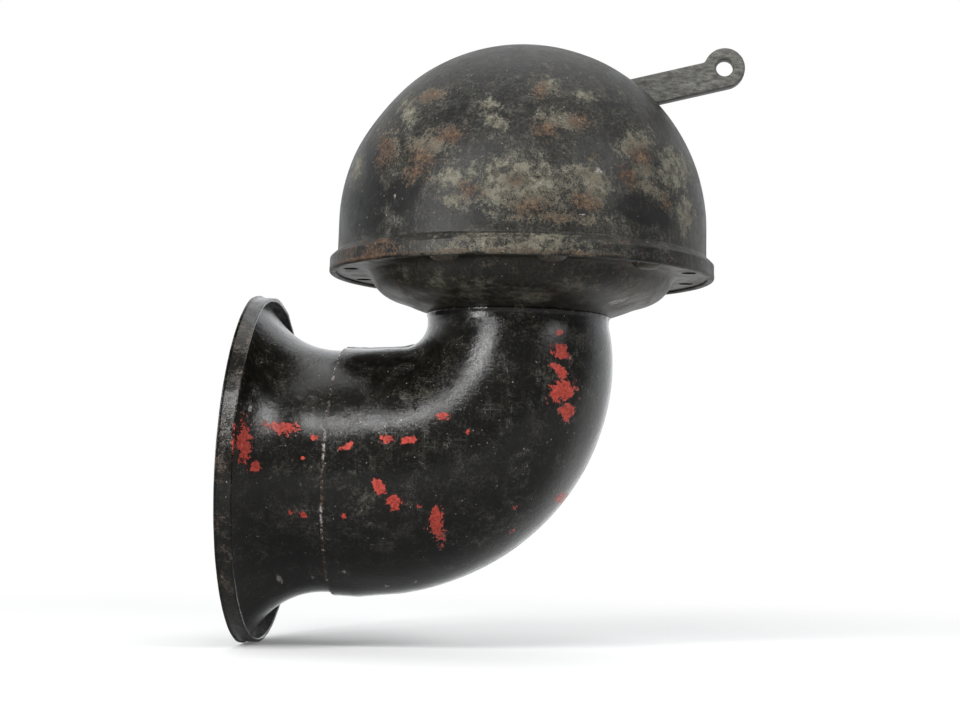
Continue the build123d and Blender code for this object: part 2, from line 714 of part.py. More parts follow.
# Return spring: a torsion coil round the lever shaft, its two legs hooked into arm and frame
with BuildPart() as return_spring:
    with BuildLine() as coil:
        Helix(
            (COIL_REAR_Y - COIL_FRONT_Y) / COIL_TURNS,
            COIL_REAR_Y - COIL_FRONT_Y,
            COIL_R,
            center=(LEVER_AT[0], COIL_FRONT_Y, LEVER_AT[1]),
            direction=(0, 1, 0),
        )
    with BuildSketch(Plane(origin=coil.line @ 0, z_dir=coil.line % 0)):
        Circle(WIRE_R)
    sweep(path=coil.line, is_frenet=True)
    for side, leg_y, reach in ((1, COIL_REAR_Y, ARM_LEG), (-1, COIL_FRONT_Y, FRAME_LEG)):
        with BuildLine() as leg:
            FilletPolyline(
                (LEVER_AT[0] + side * LEG_GAP, leg_y, spring_z),
                (LEVER_AT[0] + side * reach, leg_y, spring_z),
                (LEVER_AT[0] + side * reach, leg_y + side * HOOK_REACH, spring_z),
                radius=1.5 * WIRE_R,
            )
        with BuildSketch(Plane(origin=leg.line @ 0, z_dir=leg.line % 0)):
            Circle(WIRE_R)
        sweep(path=leg.line)
keep(return_spring, "return_spring")

# Countershaft body: shaft, drive pinion, ratchet wheel, spacer and clips
drive_half_pitch_deg = 180 / DRIVE_TEETH
shaft("countershaft", COUNTER_AT, SHAFT_R)
clips("countershaft_clips", COUNTER_AT, SHAFT_R)
gear(
    "drive_pinion",
    COUNTER_AT,
    DRIVE_TEETH,
    SECTOR_MODULE,
    LEVER_DIRECTION_DEG + drive_half_pitch_deg,
    sector_high_y + 0.5,
    5.0,
    SHAFT_R,
)
collar("spacer_collar", COUNTER_AT, SHAFT_R, 4.6, sector_high_y - 4.5, sector_high_y - 4.5 + 4.6)

ratchet_plane = Plane(origin=(COUNTER_AT[0], -8.5, COUNTER_AT[1]), x_dir=(1, 0, 0), z_dir=(0, -1, 0))
ratchet_pitch_deg = 360 / RATCHET_TEETH
with BuildPart() as ratchet_wheel:
    with BuildSketch(ratchet_plane):
        with BuildLine():
            outline = []
            for tooth_index in range(RATCHET_TEETH):
                face_deg = PAWL_FACE_DEG + tooth_index * ratchet_pitch_deg
                outline.append(polar((0, 0), RATCHET_TIP_R, face_deg))
                outline.append(polar((0, 0), RATCHET_ROOT_R, face_deg))
            Polyline(*outline, outline[0])
        make_face()
        Circle(SHAFT_R, mode=Mode.SUBTRACT)
    extrude(amount=2.5)
keep(ratchet_wheel, "ratchet_wheel")

# Main gear body: gear loose on the countershaft, pawl, its pin and its spring
pawl_at = polar((0, 0), PAWL_PIVOT_R, PAWL_PIVOT_DEG)
spring_foot_deg = 165.0
spring_post = polar((0, 0), 14.0, spring_foot_deg)
gear(
    "main_gear",
    COUNTER_AT,
    MAIN_TEETH,
    TRAIN_MODULE,
    MAIN_DIRECTION_DEG + 180,
    -5.0,
    3.0,
    SHAFT_R + RUNNING_CLEARANCE,
    holes=(
        (PAWL_PIVOT_R, PAWL_PIVOT_DEG, 1.5),
        (14.0, spring_foot_deg, 0.8),
        (12.0, 230.0, 3.2),
        (12.0, 300.0, 3.2),
        (12.0, 10.0, 3.2),
    ),
)

face_line = (cos(radians(PAWL_FACE_DEG)), sin(radians(PAWL_FACE_DEG)))
face_side = (-face_line[1] * PAWL_GAP, face_line[0] * PAWL_GAP)
pawl_toe = (7.6 * face_line[0] + face_side[0], 7.6 * face_line[1] + face_side[1])
pawl_heel = (10.4 * face_line[0] + face_side[0], 10.4 * face_line[1] + face_side[1])
with BuildPart() as pawl:
    with BuildSketch(ratchet_plane):
        with BuildLine():
            Polyline(
                pawl_toe,
                pawl_heel,
                (1.5, 13.4),
                (-3.6, 15.3),
                (-6.2, 10.9),
                (0.2, 10.1),
                (2.2, 7.9),
                pawl_toe,
            )
        make_face()
        with Locations(pawl_at):
            Circle(3.0)
            Circle(1.5 + RUNNING_CLEARANCE, mode=Mode.SUBTRACT)
    extrude(amount=2.5)
keep(pawl, "pawl")

with BuildPart() as pawl_pin:
    pin_at = (COUNTER_AT[0] + pawl_at[0], COUNTER_AT[1] + pawl_at[1])
    with BuildSketch(layer(-5.0)):
        with Locations(pin_at):
            Circle(1.5)
    extrude(amount=6.3)
    with BuildSketch(layer(-11.3)):
        with Locations(pin_at):
            Circle(2.6)
    extrude(amount=0.9)
keep(pawl_pin, "pawl_pin")

with BuildPart() as pawl_spring:
    post_at = (COUNTER_AT[0] + spring_post[0], COUNTER_AT[1] + spring_post[1])
    with BuildSketch(layer(-5.0)):
        with Locations(post_at):
            Circle(0.8)
    extrude(amount=6.0)
    with BuildSketch(layer(-9.4)):
        with BuildLine():
            Polyline(
                post_at,
                (COUNTER_AT[0] - 10.5, COUNTER_AT[1] + 13.6),
                (COUNTER_AT[0] - 4.6, COUNTER_AT[1] + 17.4),
                (COUNTER_AT[0] + 1.6, COUNTER_AT[1] + 14.3),
            )
            offset(amount=0.25)
        make_face()
    extrude(amount=1.2)
keep(pawl_spring, "pawl_spring")

# Rotor body: shaft, pinion, lobed striker wheel and clips
shaft("rotor_shaft", ROTOR_AT, SHAFT_R)
clips("rotor_clips", ROTOR_AT, SHAFT_R)
gear(
    "rotor_pinion",
    ROTOR_AT,
    ROTOR_TEETH,
    TRAIN_MODULE,
    MAIN_DIRECTION_DEG + 180 / ROTOR_TEETH,
    -4.6,
    3.8,
    SHAFT_R,
)

rotor_plane = Plane(
    origin=(ROTOR_AT[0], ROTOR_THICKNESS / 2, ROTOR_AT[1]), x_dir=(1, 0, 0), z_dir=(0, -1, 0)
)
with BuildPart() as rotor_wheel:
    with BuildSketch(rotor_plane):
        Circle(ROTOR_R - 2.4)
        with PolarLocations(ROTOR_R - 2.6, ROTOR_LOBES):
            Circle(2.6)
        Circle(SHAFT_R, mode=Mode.SUBTRACT)
    extrude(amount=ROTOR_THICKNESS)
    with BuildSketch(rotor_plane.offset(ROTOR_THICKNESS)):
        Circle(5.2)
        Circle(SHAFT_R, mode=Mode.SUBTRACT)
    extrude(amount=2.0)
keep(rotor_wheel, "rotor_wheel")
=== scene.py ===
"""The looks of a lever-operated signal horn: worn black enamel over red, built around its CAD frame."""

import json
from math import asin, cos, pi, radians, sin, sqrt
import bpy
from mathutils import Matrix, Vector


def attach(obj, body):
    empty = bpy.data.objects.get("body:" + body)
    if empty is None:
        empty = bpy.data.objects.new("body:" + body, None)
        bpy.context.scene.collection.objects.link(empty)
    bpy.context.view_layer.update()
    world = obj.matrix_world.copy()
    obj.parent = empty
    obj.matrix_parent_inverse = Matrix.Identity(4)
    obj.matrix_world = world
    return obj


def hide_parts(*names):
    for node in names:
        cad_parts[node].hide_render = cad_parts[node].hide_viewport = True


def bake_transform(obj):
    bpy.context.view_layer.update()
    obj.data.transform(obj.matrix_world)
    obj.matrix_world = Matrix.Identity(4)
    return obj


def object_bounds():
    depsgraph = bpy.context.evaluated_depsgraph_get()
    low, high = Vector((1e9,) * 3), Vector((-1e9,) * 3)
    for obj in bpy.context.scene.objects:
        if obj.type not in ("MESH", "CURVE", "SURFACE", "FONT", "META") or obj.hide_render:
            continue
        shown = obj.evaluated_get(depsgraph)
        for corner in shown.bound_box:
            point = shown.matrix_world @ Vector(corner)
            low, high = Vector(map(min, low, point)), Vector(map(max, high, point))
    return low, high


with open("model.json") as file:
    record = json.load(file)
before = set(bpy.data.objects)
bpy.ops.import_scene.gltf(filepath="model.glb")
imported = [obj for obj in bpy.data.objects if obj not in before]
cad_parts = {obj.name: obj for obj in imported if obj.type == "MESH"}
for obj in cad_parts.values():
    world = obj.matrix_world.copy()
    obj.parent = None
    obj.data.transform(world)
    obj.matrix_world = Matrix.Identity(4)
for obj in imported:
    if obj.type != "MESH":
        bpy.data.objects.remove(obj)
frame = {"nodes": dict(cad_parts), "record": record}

from types import SimpleNamespace

import bpy
import numpy as np
from mathutils import Matrix, Vector, noise

MM = 0.001
nodes = frame["nodes"]
cad_low, cad_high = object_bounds()

# ---------------------------------------------------------------- sizes, in millimetres
DOME_R = 78.9
DOME_CENTRE_Z = 20.3
SKIRT_R = 82.5
SHEET = 1.2
LIP_INNER_R = 79.6
SLOT_HALF_WIDTH = 4.0
SLOT_DEG = (21.0, 58.0)

PAN_SHEET = 1.6
STACK_R = 80.8
BOLT_CIRCLE_R = 73.5
OPEN_HOLE_R = 3.2
SCREW_R = 2.5
HEAD_R = 6.0
HEAD_HEIGHT = 2.6
SCREW_ANGLES = (43, 77, 111, 249, 283, 317)
OPEN_ANGLES = (15, 165, 195, 345)
THROAT_Z = -17.0

TUBE_X = -1.0
TUBE_R = 38.7
ELBOW_TOP_Z = -14.6
BEND_INNER_R = 10.4
BEND_X, BEND_Z = TUBE_X - TUBE_R - BEND_INNER_R, -21.4
BEND_GROWTH = 13.8
COLLAR_AT = (-66.0, -85.5)
COLLAR_R = 53.0
COLLAR_LENGTH = 9.5
BELL_TILT = radians(1.2)
NECK_START, NECK_END = 2.0, 12.0
FLARE_R = 38.2
MOUTH = 47.4
LIP_R = 74.6
LIP_THICKNESS = 1.6
LIP_BACK = 40.9
BELL_SIDES = 288

LEVER_AT = (22.913, 73.841)
LEVER_REST = radians(13.3)
LEVER_HALF = 3.0
ARM_WIDTH = 13.0
EYE_REACH = 64.8
EYE_R = 8.7
EYE_HOLE_R = 3.6
HUB_R = 11.0
LEVER_SHAFT_R = 4.0
EDGE_ROUND = 0.9
CORNER_R = 1.6

SHARP_DEG = 38
LEVER_VOXEL = 0.42

# ---------------------------------------------------------------- view and light, in metres and watts
LENS_MM, SENSOR_MM = 69.2, 36.0
CAMERA_PLACE = (0.0500, -0.7873, -0.0957)
CAMERA_RIGHT = (0.99627, 0.08288, 0.02400)
CAMERA_UP = (-0.01764, -0.07666, 0.99690)
LIGHT_TARGET = (-0.01, 0, -0.02)
# Each window is (name, direction from the object, distance, width, height, watts).
WINDOWS = (
    ("left_window", (-0.70, -0.71, 0.10), 0.95, 0.15, 0.36, 4.2),
    ("corner_window", (-0.47, -0.74, 0.46), 0.95, 0.15, 0.26, 3.0),
    ("front_window", (-0.10, -0.76, 0.64), 0.95, 0.42, 0.045, 2.3),
    ("right_window", (0.675, -0.51, 0.52), 1.0, 0.30, 0.30, 3.4),
    ("overhead", (0.05, 0.10, 1.0), 1.1, 1.0, 0.8, 3.3),
)
WORLD_FRONT, WORLD_BEHIND = 0.24, 1.1
WORLD_TINT = (0.97, 0.985, 1.0)
FLOOR_HALF = 3.0
FLOOR_GAP = 0.0004
FLOOR_FADE_MM = (180.0, 520.0)
FLOOR_BEHIND_MM = (-40.0, 110.0)
FLOOR_GREY, FLOOR_FRONT_GREY = 0.86, 0.34
FLOOR_GLOW, FLOOR_FRONT_GLOW = 0.12, 0.10


# ---------------------------------------------------------------- camera, light and floor
def place_camera():
    """The camera: a little to the right of the front, 96 mm below the flange, looking slightly up."""
    data = bpy.data.cameras.new("camera")
    data.lens = LENS_MM
    data.sensor_width = SENSOR_MM
    data.clip_start = 0.01
    camera = bpy.data.objects.new("camera", data)
    right, up = Vector(CAMERA_RIGHT), Vector(CAMERA_UP)
    back = right.cross(up)
    turn = Matrix((right, up, back)).transposed().to_4x4()
    camera.matrix_world = Matrix.Translation(CAMERA_PLACE) @ turn
    bpy.context.scene.collection.objects.link(camera)
    bpy.context.scene.camera = camera


def softbox(name, direction, distance, width, height, watts):
    """A rectangular area light that stands in a direction from the object and faces it."""
    data = bpy.data.lights.new(name, "AREA")
    data.shape = "RECTANGLE"
    data.size = width
    data.size_y = height
    data.energy = watts
    light = bpy.data.objects.new(name, data)
    toward = Vector(direction).normalized()
    light.location = Vector(LIGHT_TARGET) + toward * distance
    light.rotation_euler = toward.to_track_quat("Z", "Y").to_euler()
    bpy.context.scene.collection.objects.link(light)


def light_world():
    """White surroundings to the camera; for light, bright behind the object and dimmer before it."""
    world = bpy.data.worlds.new("surroundings")
    bpy.context.scene.world = world
    world.use_nodes = True
    tree = world.node_tree
    tree.nodes.clear()
    out = tree.nodes.new("ShaderNodeOutputWorld")
    coord = tree.nodes.new("ShaderNodeTexCoord")
    split = tree.nodes.new("ShaderNodeSeparateXYZ")
    ramp = tree.nodes.new("ShaderNodeMapRange")
    ramp.interpolation_type = "SMOOTHSTEP"
    ramp.inputs["From Min"].default_value = 0.0
    ramp.inputs["From Max"].default_value = 0.6
    ramp.inputs["To Min"].default_value = WORLD_FRONT
    ramp.inputs["To Max"].default_value = WORLD_BEHIND
    glow = tree.nodes.new("ShaderNodeBackground")
    glow.inputs["Color"].default_value = (*WORLD_TINT, 1)
    plain = tree.nodes.new("ShaderNodeBackground")
    plain.inputs["Color"].default_value = (1, 1, 1, 1)
    plain.inputs["Strength"].default_value = 1.0
    path = tree.nodes.new("ShaderNodeLightPath")
    mix = tree.nodes.new("ShaderNodeMixShader")
    link = tree.links.new
    link(coord.outputs["Generated"], split.inputs["Vector"])
    link(split.outputs["Y"], ramp.inputs["Value"])
    link(ramp.outputs["Result"], glow.inputs["Strength"])
    link(path.outputs["Is Camera Ray"], mix.inputs["Fac"])
    link(glow.outputs["Background"], mix.inputs[1])
    link(plain.outputs["Background"], mix.inputs[2])
    link(mix.outputs["Shader"], out.inputs["Surface"])


def lay_floor():
    """A pale floor just under the lowest point of the bell, which fades to white far out.
    In front of the object it throws back less light than the camera sees on it."""
    mesh = bpy.data.meshes.new("floor")
    half = FLOOR_HALF
    level = cad_low.z - FLOOR_GAP
    corners = [(-half, -half, level), (half, -half, level), (half, half, level), (-half, half, level)]
    mesh.from_pydata(corners, [], [(0, 1, 2, 3)])
    floor = bpy.data.objects.new("floor", mesh)
    bpy.context.scene.collection.objects.link(floor)
    s = Shade("floor")
    length = s.new("VectorMath")
    length.operation = "LENGTH"
    s.tree.links.new(s.place, length.inputs[0])
    split = s.new("SeparateXYZ")
    s.tree.links.new(s.place, split.inputs["Vector"])
    seen = s.new("LightPath").outputs["Is Camera Ray"]
    behind = s.math("MAXIMUM", seen, s.step(split.outputs["Y"], *FLOOR_BEHIND_MM))
    far = s.step(length.outputs["Value"], *FLOOR_FADE_MM)
    pale = s.blend(far, (FLOOR_GREY,) * 3, (0.0, 0.0, 0.0))
    colour = s.blend(behind, (FLOOR_FRONT_GREY,) * 3, pale)
    away = s.step(length.outputs["Value"], *FLOOR_FADE_MM, FLOOR_GLOW, 1.0)
    glow = s.math("MULTIPLY", away, s.math("MAXIMUM", behind, FLOOR_FRONT_GLOW))
    mesh.materials.append(
        s.finish(Base_Color=colour, Roughness=0.9, Specular_IOR_Level=0.0,
                 Emission_Color=(1.0, 1.0, 1.0), Emission_Strength=glow)
    )


# ---------------------------------------------------------------- node helpers
class Shade:
    """A material under construction, with short calls for the nodes that these finishes use."""

    def __init__(self, name):
        self.material = bpy.data.materials.new(name)
        self.material.use_nodes = True
        self.tree = self.material.node_tree
        self.shader = self.tree.nodes["Principled BSDF"]
        coord = self.new("TexCoord")
        scale = self.new("VectorMath")
        scale.operation = "SCALE"
        scale.inputs["Scale"].default_value = 1 / MM
        self.tree.links.new(coord.outputs["Object"], scale.inputs[0])
        self.place = scale.outputs["Vector"]

    def new(self, kind, **numbers):
        """A new node of a kind, such as Math, with the inputs that are plain numbers."""
        node = self.tree.nodes.new("ShaderNode" + kind)
        for name, number in numbers.items():
            node.inputs[name.replace("_", " ")].default_value = number
        return node

    def put(self, socket, value):
        """Links or sets one input."""
        if hasattr(value, "is_linked"):
            self.tree.links.new(value, socket)
        elif isinstance(value, tuple) and len(value) == 3 and socket.type == "RGBA":
            socket.default_value = (*value, 1)
        else:
            socket.default_value = value

    def noise(self, grain, detail, rough, warp=0.0, shift=0.0, stretch=(1, 1, 1), turn=(0, 0, 0)):
        """Noise whose lumps are about grain millimetres across."""
        size = tuple(s / grain for s in stretch)
        mapping = self.new("Mapping", Location=(shift, shift * 0.7, -shift), Rotation=turn, Scale=size)
        self.tree.links.new(self.place, mapping.inputs["Vector"])
        node = self.new("TexNoise", Scale=1.0, Detail=detail, Roughness=rough, Distortion=warp)
        self.tree.links.new(mapping.outputs["Vector"], node.inputs["Vector"])
        return node.outputs["Fac"]

    def spots(self, grain, shift=0.0):
        """Distance to scattered points about grain millimetres apart, in grains."""
        mapping = self.new("Mapping", Location=(shift,) * 3, Scale=(1 / grain,) * 3)
        self.tree.links.new(self.place, mapping.inputs["Vector"])
        node = self.new("TexVoronoi", Scale=1.0)
        self.tree.links.new(mapping.outputs["Vector"], node.inputs["Vector"])
        return node.outputs["Distance"]

    def field(self, name):
        """A value painted on the mesh by the code below."""
        node = self.new("Attribute")
        node.attribute_name = name
        return node.outputs["Fac"]

    def sum(self, *terms):
        """Adds terms, each a socket or a (socket, factor) pair or a number."""
        total = None
        for term in terms:
            if isinstance(term, tuple):
                term = self.math("MULTIPLY", *term)
            total = term if total is None else self.math("ADD", total, term)
        return total

    def math(self, operation, a, b=0.0):
        """One math node."""
        node = self.new("Math")
        node.operation = operation
        self.put(node.inputs[0], a)
        self.put(node.inputs[1], b)
        return node.outputs["Value"]

    def step(self, value, low, high, bottom=0.0, top=1.0):
        """A smooth step between two values."""
        node = self.new("MapRange", From_Min=low, From_Max=high, To_Min=bottom, To_Max=top)
        node.interpolation_type = "SMOOTHSTEP"
        self.put(node.inputs["Value"], value)
        return node.outputs["Result"]

    def blend(self, mask, under, over):
        """over where the mask is 1, under where it is 0."""
        node = self.new("Mix")
        node.data_type = "RGBA"
        self.put(node.inputs["Factor"], mask)
        self.put(node.inputs[6], under)
        self.put(node.inputs[7], over)
        return node.outputs[2]

    def bump(self, height, distance):
        """A bump of that many millimetres."""
        node = self.new("Bump", Distance=distance * MM)
        self.put(node.inputs["Height"], height)
        return node.outputs["Normal"]

    def finish(self, **sockets):
        """Sets the shader's inputs, with spaces in their names written as underscores."""
        for name, value in sockets.items():
            self.put(self.shader.inputs[name.replace("_", " ")], value)
        return self.material


# ---------------------------------------------------------------- finishes
DUST = (0.135, 0.132, 0.115)
# Stain colours, which on the dome also colour painted sheen.
STAIN_AND_SHEEN_DARK, STAIN_AND_SHEEN_PALE, STAIN_AND_SHEEN_SPECK = (0.070, 0.063, 0.043), (0.196, 0.184, 0.140), (0.31, 0.30, 0.24)
RUST_DARK, RUST_BROWN = (0.045, 0.028, 0.018), (0.150, 0.098, 0.058)
RUST_ORANGE, RUST_GRIT = (0.235, 0.125, 0.052), (0.040, 0.020, 0.016)
CRUST = (0.046, 0.022, 0.017)
BARE_DARK, BARE_BRIGHT = (0.15, 0.125, 0.115), (0.34, 0.33, 0.32)
CHIP_EDGE = (0.060, 0.020, 0.017)
RED_DARK, RED_BRIGHT, RED_WORN = (0.25, 0.022, 0.017), (0.49, 0.062, 0.040), (0.36, 0.20, 0.18)
SCRATCH, SPECK = (0.26, 0.255, 0.23), (0.42, 0.41, 0.37)
ENAMEL_RELIEF = 0.34
COAT_ROUGHNESS = 0.045
IRON_DARK, IRON_GREY = (0.055, 0.053, 0.049), (0.092, 0.090, 0.082)
IRON_FACE, IRON_LIGHT, IRON_PIT = (0.095, 0.094, 0.084), (0.190, 0.190, 0.168), (0.030, 0.027, 0.025)
FIBRE_DARK, FIBRE_BROWN, FIBRE_HAIR = (0.13, 0.065, 0.035), (0.24, 0.14, 0.08), (0.34, 0.24, 0.15)


def grains(s):
    """The noises that the layers of the enamel share, from broad to fine."""
    return SimpleNamespace(
        broad=s.noise(30, 4, 0.6, 0.5),
        cloud=s.noise(9, 6, 0.66, 0.5, shift=7),
        patch=s.noise(3.6, 6, 0.66, 0.3, shift=19),
        fine=s.noise(1.3, 5, 0.65, shift=31),
        grit=s.noise(0.55, 3, 0.6, shift=43),
    )


def ground_layer(s, n, black, brown, olive, haze):
    """The old paint under all the wear: the cover of its dust, and its colour."""
    streak = s.noise(2.6, 5, 0.65, 0.2, shift=57, stretch=(1, 1, 0.2))
    tone = s.sum((n.broad, 0.8), (n.patch, 0.45), (n.fine, 0.35), -0.3)
    ground = s.blend(s.step(tone, 0.34, 0.72), black, brown)
    ground = s.blend(s.step(s.sum(streak, (n.grit, 0.3), -0.15), 0.50, 0.76, 0.0, 0.6), ground, olive)
    mottle = s.sum(n.grit, (n.fine, 0.5), -0.25)
    ground = s.blend(s.step(mottle, 0.52, 0.36, 0.0, 0.75), ground, tuple(c * 0.35 for c in black))
    # Where the stain field is high the paint is dulled and dusty; on the dome that field also carries painted
    # sheen.
    dull = s.sum(s.field("stain"), (n.cloud, 1.6), (n.patch, 1.3), (n.fine, 0.6), -1.75)
    dull = s.step(dull, -1.25, -0.35)
    dust = s.step(s.sum(n.cloud, (n.fine, 0.6), (n.grit, 0.4), -0.5), 0.44, 0.70, 0.0, haze)
    dust = s.math("MULTIPLY", dust, dull)
    ground = s.blend(dull, tuple(c * 0.6 for c in black), ground)
    return dust, s.blend(dust, ground, DUST)


def stain_and_sheen_layer(s, n, film):
    """The pale grey-green stain, with the dome's painted sheen that shares its field: its cover and colour.
    """
    value = s.sum(
        (s.field("stain"), 0.55), (n.cloud, 1.3), (n.patch, 1.3), (n.fine, 1.1), (n.grit, 0.7), -2.2
    )
    colour = s.blend(s.step(n.patch, 0.38, 0.64), STAIN_AND_SHEEN_DARK, STAIN_AND_SHEEN_PALE)
    colour = s.blend(s.step(n.grit, 0.52, 0.68, 0, 0.5), colour, STAIN_AND_SHEEN_SPECK)
    return s.step(value, -0.04, 0.60, 0.0, film), colour


def rust_layer(s, n):
    """The rust: its cover and colour, more orange where it is thick."""
    value = s.sum(
        (s.field("rust"), 0.62), (n.cloud, 1.3), (n.patch, 1.8), (n.fine, 1.3), (n.grit, 0.6), -2.52
    )
    colour = s.blend(s.step(n.fine, 0.36, 0.62), RUST_DARK, RUST_BROWN)
    colour = s.blend(s.step(value, 0.45, 0.95, 0, 0.7), colour, RUST_ORANGE)
    colour = s.blend(s.step(n.grit, 0.60, 0.48, 0, 0.6), colour, RUST_GRIT)
    return s.step(value, -0.02, 0.50, 0.0, 0.75), colour


def bare_layer(s, n):
    """Bare steel where the paint is rubbed through: its cover and colour."""
    value = s.sum(s.field("bare"), (n.patch, 0.8), (n.fine, 0.6), -0.70)
    return s.step(value, 0.42, 0.56), s.blend(s.step(n.fine, 0.42, 0.6), BARE_DARK, BARE_BRIGHT)


def chip_layer(s, n):
    """Chips down to the red undercoat: the dark edge's cover, the chip's cover and its colour."""
    value = s.sum((s.field("chips"), 0.85), (n.patch, 1.55), (n.fine, 1.0), (n.grit, 0.3), -1.375)
    red = s.blend(s.step(n.fine, 0.36, 0.60), RED_DARK, RED_BRIGHT)
    red = s.blend(s.step(n.grit, 0.60, 0.72, 0, 0.55), red, RED_WORN)
    return s.step(value, 0.22, 0.36, 0.0, 0.45), s.step(value, 0.38, 0.43), red


def scratches(s):
    """Thin lines in two directions: 1 on a line and 0 beside it."""
    one_way = s.noise(2.4, 2, 0.4, 0.1, shift=3, stretch=(1, 1, 0.03), turn=(0.5, 0.9, 0.2))
    other_way = s.noise(2.8, 2, 0.4, 0.1, shift=11, stretch=(0.03, 1, 1), turn=(0.2, 0.5, 1.1))
    return s.math(
        "MAXIMUM",
        s.step(s.math("ABSOLUTE", s.math("SUBTRACT", one_way, 0.5)), 0.010, 0.0),
        s.step(s.math("ABSOLUTE", s.math("SUBTRACT", other_way, 0.5)), 0.008, 0.0),
    )


def enamel(name, black, brown, olive, gloss, haze, film, shine=0.5, coat=0.0):
    """Old black enamel on sheet steel. The meshes carry the fields chips, rust, stain and bare.
    gloss is the clean paint's roughness, haze the dust's cover and film the cover of the stain, which on the
    dome includes painted sheen."""
    s = Shade(name)
    n = grains(s)
    lines = s.math("MULTIPLY", scratches(s), s.step(n.cloud, 0.52, 0.64))
    specks = s.math("MULTIPLY", s.step(s.spots(2.6, 5), 0.15, 0.06), s.step(n.patch, 0.5, 0.6))
    pits = s.step(s.sum(s.spots(1.9, 9), (n.fine, 0.25), -0.12), 0.26, 0.12)

    dust, ground = ground_layer(s, n, black, brown, olive, haze)
    # The stain layer also carries the dome's painted sheen.
    stain, stain_and_sheen_colour = stain_and_sheen_layer(s, n, film)
    rust, rust_colour = rust_layer(s, n)
    bare, bare_colour = bare_layer(s, n)
    chip_edge, chip, red = chip_layer(s, n)
    crust = s.math("MULTIPLY", pits, s.math("MAXIMUM", rust, stain))
    colour = s.blend(stain, ground, stain_and_sheen_colour)
    colour = s.blend(rust, colour, rust_colour)
    colour = s.blend(s.math("MULTIPLY", crust, 0.75), colour, CRUST)
    colour = s.blend(bare, colour, bare_colour)
    colour = s.blend(chip_edge, colour, CHIP_EDGE)
    colour = s.blend(chip, colour, red)
    colour = s.blend(s.math("MULTIPLY", lines, 0.30), colour, SCRATCH)
    colour = s.blend(s.math("MULTIPLY", specks, 0.55), colour, SPECK)

    worn = s.math("MAXIMUM", s.math("MAXIMUM", rust, chip), s.math("MULTIPLY", stain, 0.6))
    rough = s.sum(
        gloss, (s.step(n.cloud, 0.35, 0.7), 0.12), (dust, 0.25), (worn, 0.26), (lines, 0.10),
        (n.grit, 0.16), -0.06,
    )
    height = s.sum(
        (n.cloud, 0.55), (n.patch, 0.28), (n.fine, 0.22), (n.grit, 0.11), (rust, 0.10), (chip, -0.42),
        (bare, -0.2), (crust, -0.35), (lines, -0.05),
    )
    normal = s.bump(height, ENAMEL_RELIEF)
    return s.finish(
        Base_Color=colour, Roughness=rough, Normal=normal, Specular_IOR_Level=shine,
        Coat_Weight=coat, Coat_Roughness=COAT_ROUGHNESS, Coat_Normal=normal,
    )


def forged(name, painted=False):
    """Dark forged iron with a coarse pitted face; painted meshes carry the field face."""
    s = Shade(name)
    cloud = s.noise(7, 4, 0.6, 0.3)
    pit = s.noise(1.6, 5, 0.68, 0.2, shift=5, stretch=(0.4, 1, 1.3))
    fine = s.noise(0.6, 4, 0.6, shift=9)
    colour = s.blend(s.step(cloud, 0.35, 0.68), IRON_DARK, IRON_GREY)
    light = s.step(s.sum(pit, (fine, 0.35), -0.17), 0.44, 0.66, 0, 0.75)
    if painted:
        face = s.field("face")
        light = s.math("MULTIPLY", light, face)
        colour = s.blend(s.math("MULTIPLY", face, 0.6), colour, IRON_FACE)
    colour = s.blend(light, colour, IRON_LIGHT)
    colour = s.blend(s.step(pit, 0.46, 0.33, 0, 0.6), colour, IRON_PIT)
    rough = s.sum(0.34, (cloud, 0.2), (fine, 0.14))
    normal = s.bump(s.sum((pit, 1.0), (fine, 0.35)), 0.35)
    return s.finish(Base_Color=colour, Roughness=rough, Normal=normal, Metallic=0.3)


def metal(name, colour, rough, stain, turned=False):
    """Inner metal, with machining lines, oil stains and small scratches."""
    s = Shade(name)
    cloud = s.noise(9, 5, 0.6, 0.5, shift=2)
    fine = s.noise(0.7, 4, 0.6, shift=13)
    stretch = (1, 0.04, 1) if turned else (0.04, 1, 1)
    brushed = s.noise(0.6, 3, 0.6, shift=23, stretch=stretch)
    dark = tuple(c * 0.45 for c in colour)
    pale = tuple(c * 1.25 for c in colour)
    tone = s.blend(s.step(brushed, 0.35, 0.7, 0, 0.5), colour, pale)
    tone = s.blend(s.step(cloud, 0.46, 0.72, 0, 0.85), tone, stain)
    tone = s.blend(s.step(fine, 0.6, 0.75, 0, 0.6), tone, dark)
    roughness = s.sum(rough, (cloud, 0.22), (brushed, 0.10))
    normal = s.bump(s.sum((brushed, 0.6), (fine, 0.4)), 0.06)
    return s.finish(Base_Color=tone, Roughness=roughness, Normal=normal, Metallic=0.9)


def fibre(name):
    """Brown gasket sheet with short fibres."""
    s = Shade(name)
    cloud = s.noise(5, 4, 0.6, 0.3)
    hair = s.noise(0.5, 4, 0.7, 0.8, stretch=(1, 0.2, 1))
    colour = s.blend(s.step(cloud, 0.35, 0.7), FIBRE_DARK, FIBRE_BROWN)
    colour = s.blend(s.step(hair, 0.5, 0.7, 0, 0.5), colour, FIBRE_HAIR)
    return s.finish(Base_Color=colour, Roughness=0.85, Normal=s.bump(hair, 0.08))


# ---------------------------------------------------------------- mesh helpers
def smooth(mesh):
    """Shades the whole mesh smooth."""
    mesh.polygons.foreach_set("use_smooth", [True] * len(mesh.polygons))


def make_piece(name, points, faces):
    """A mesh piece from points in millimetres, smooth but for its sharp edges."""
    mesh = bpy.data.meshes.new(name)
    mesh.from_pydata([tuple(p) for p in np.asarray(points) * MM], [], faces)
    mesh.update()
    smooth(mesh)
    mesh.set_sharp_from_angle(angle=radians(SHARP_DEG))
    piece = bpy.data.objects.new(name, mesh)
    bpy.context.scene.collection.objects.link(piece)
    return piece


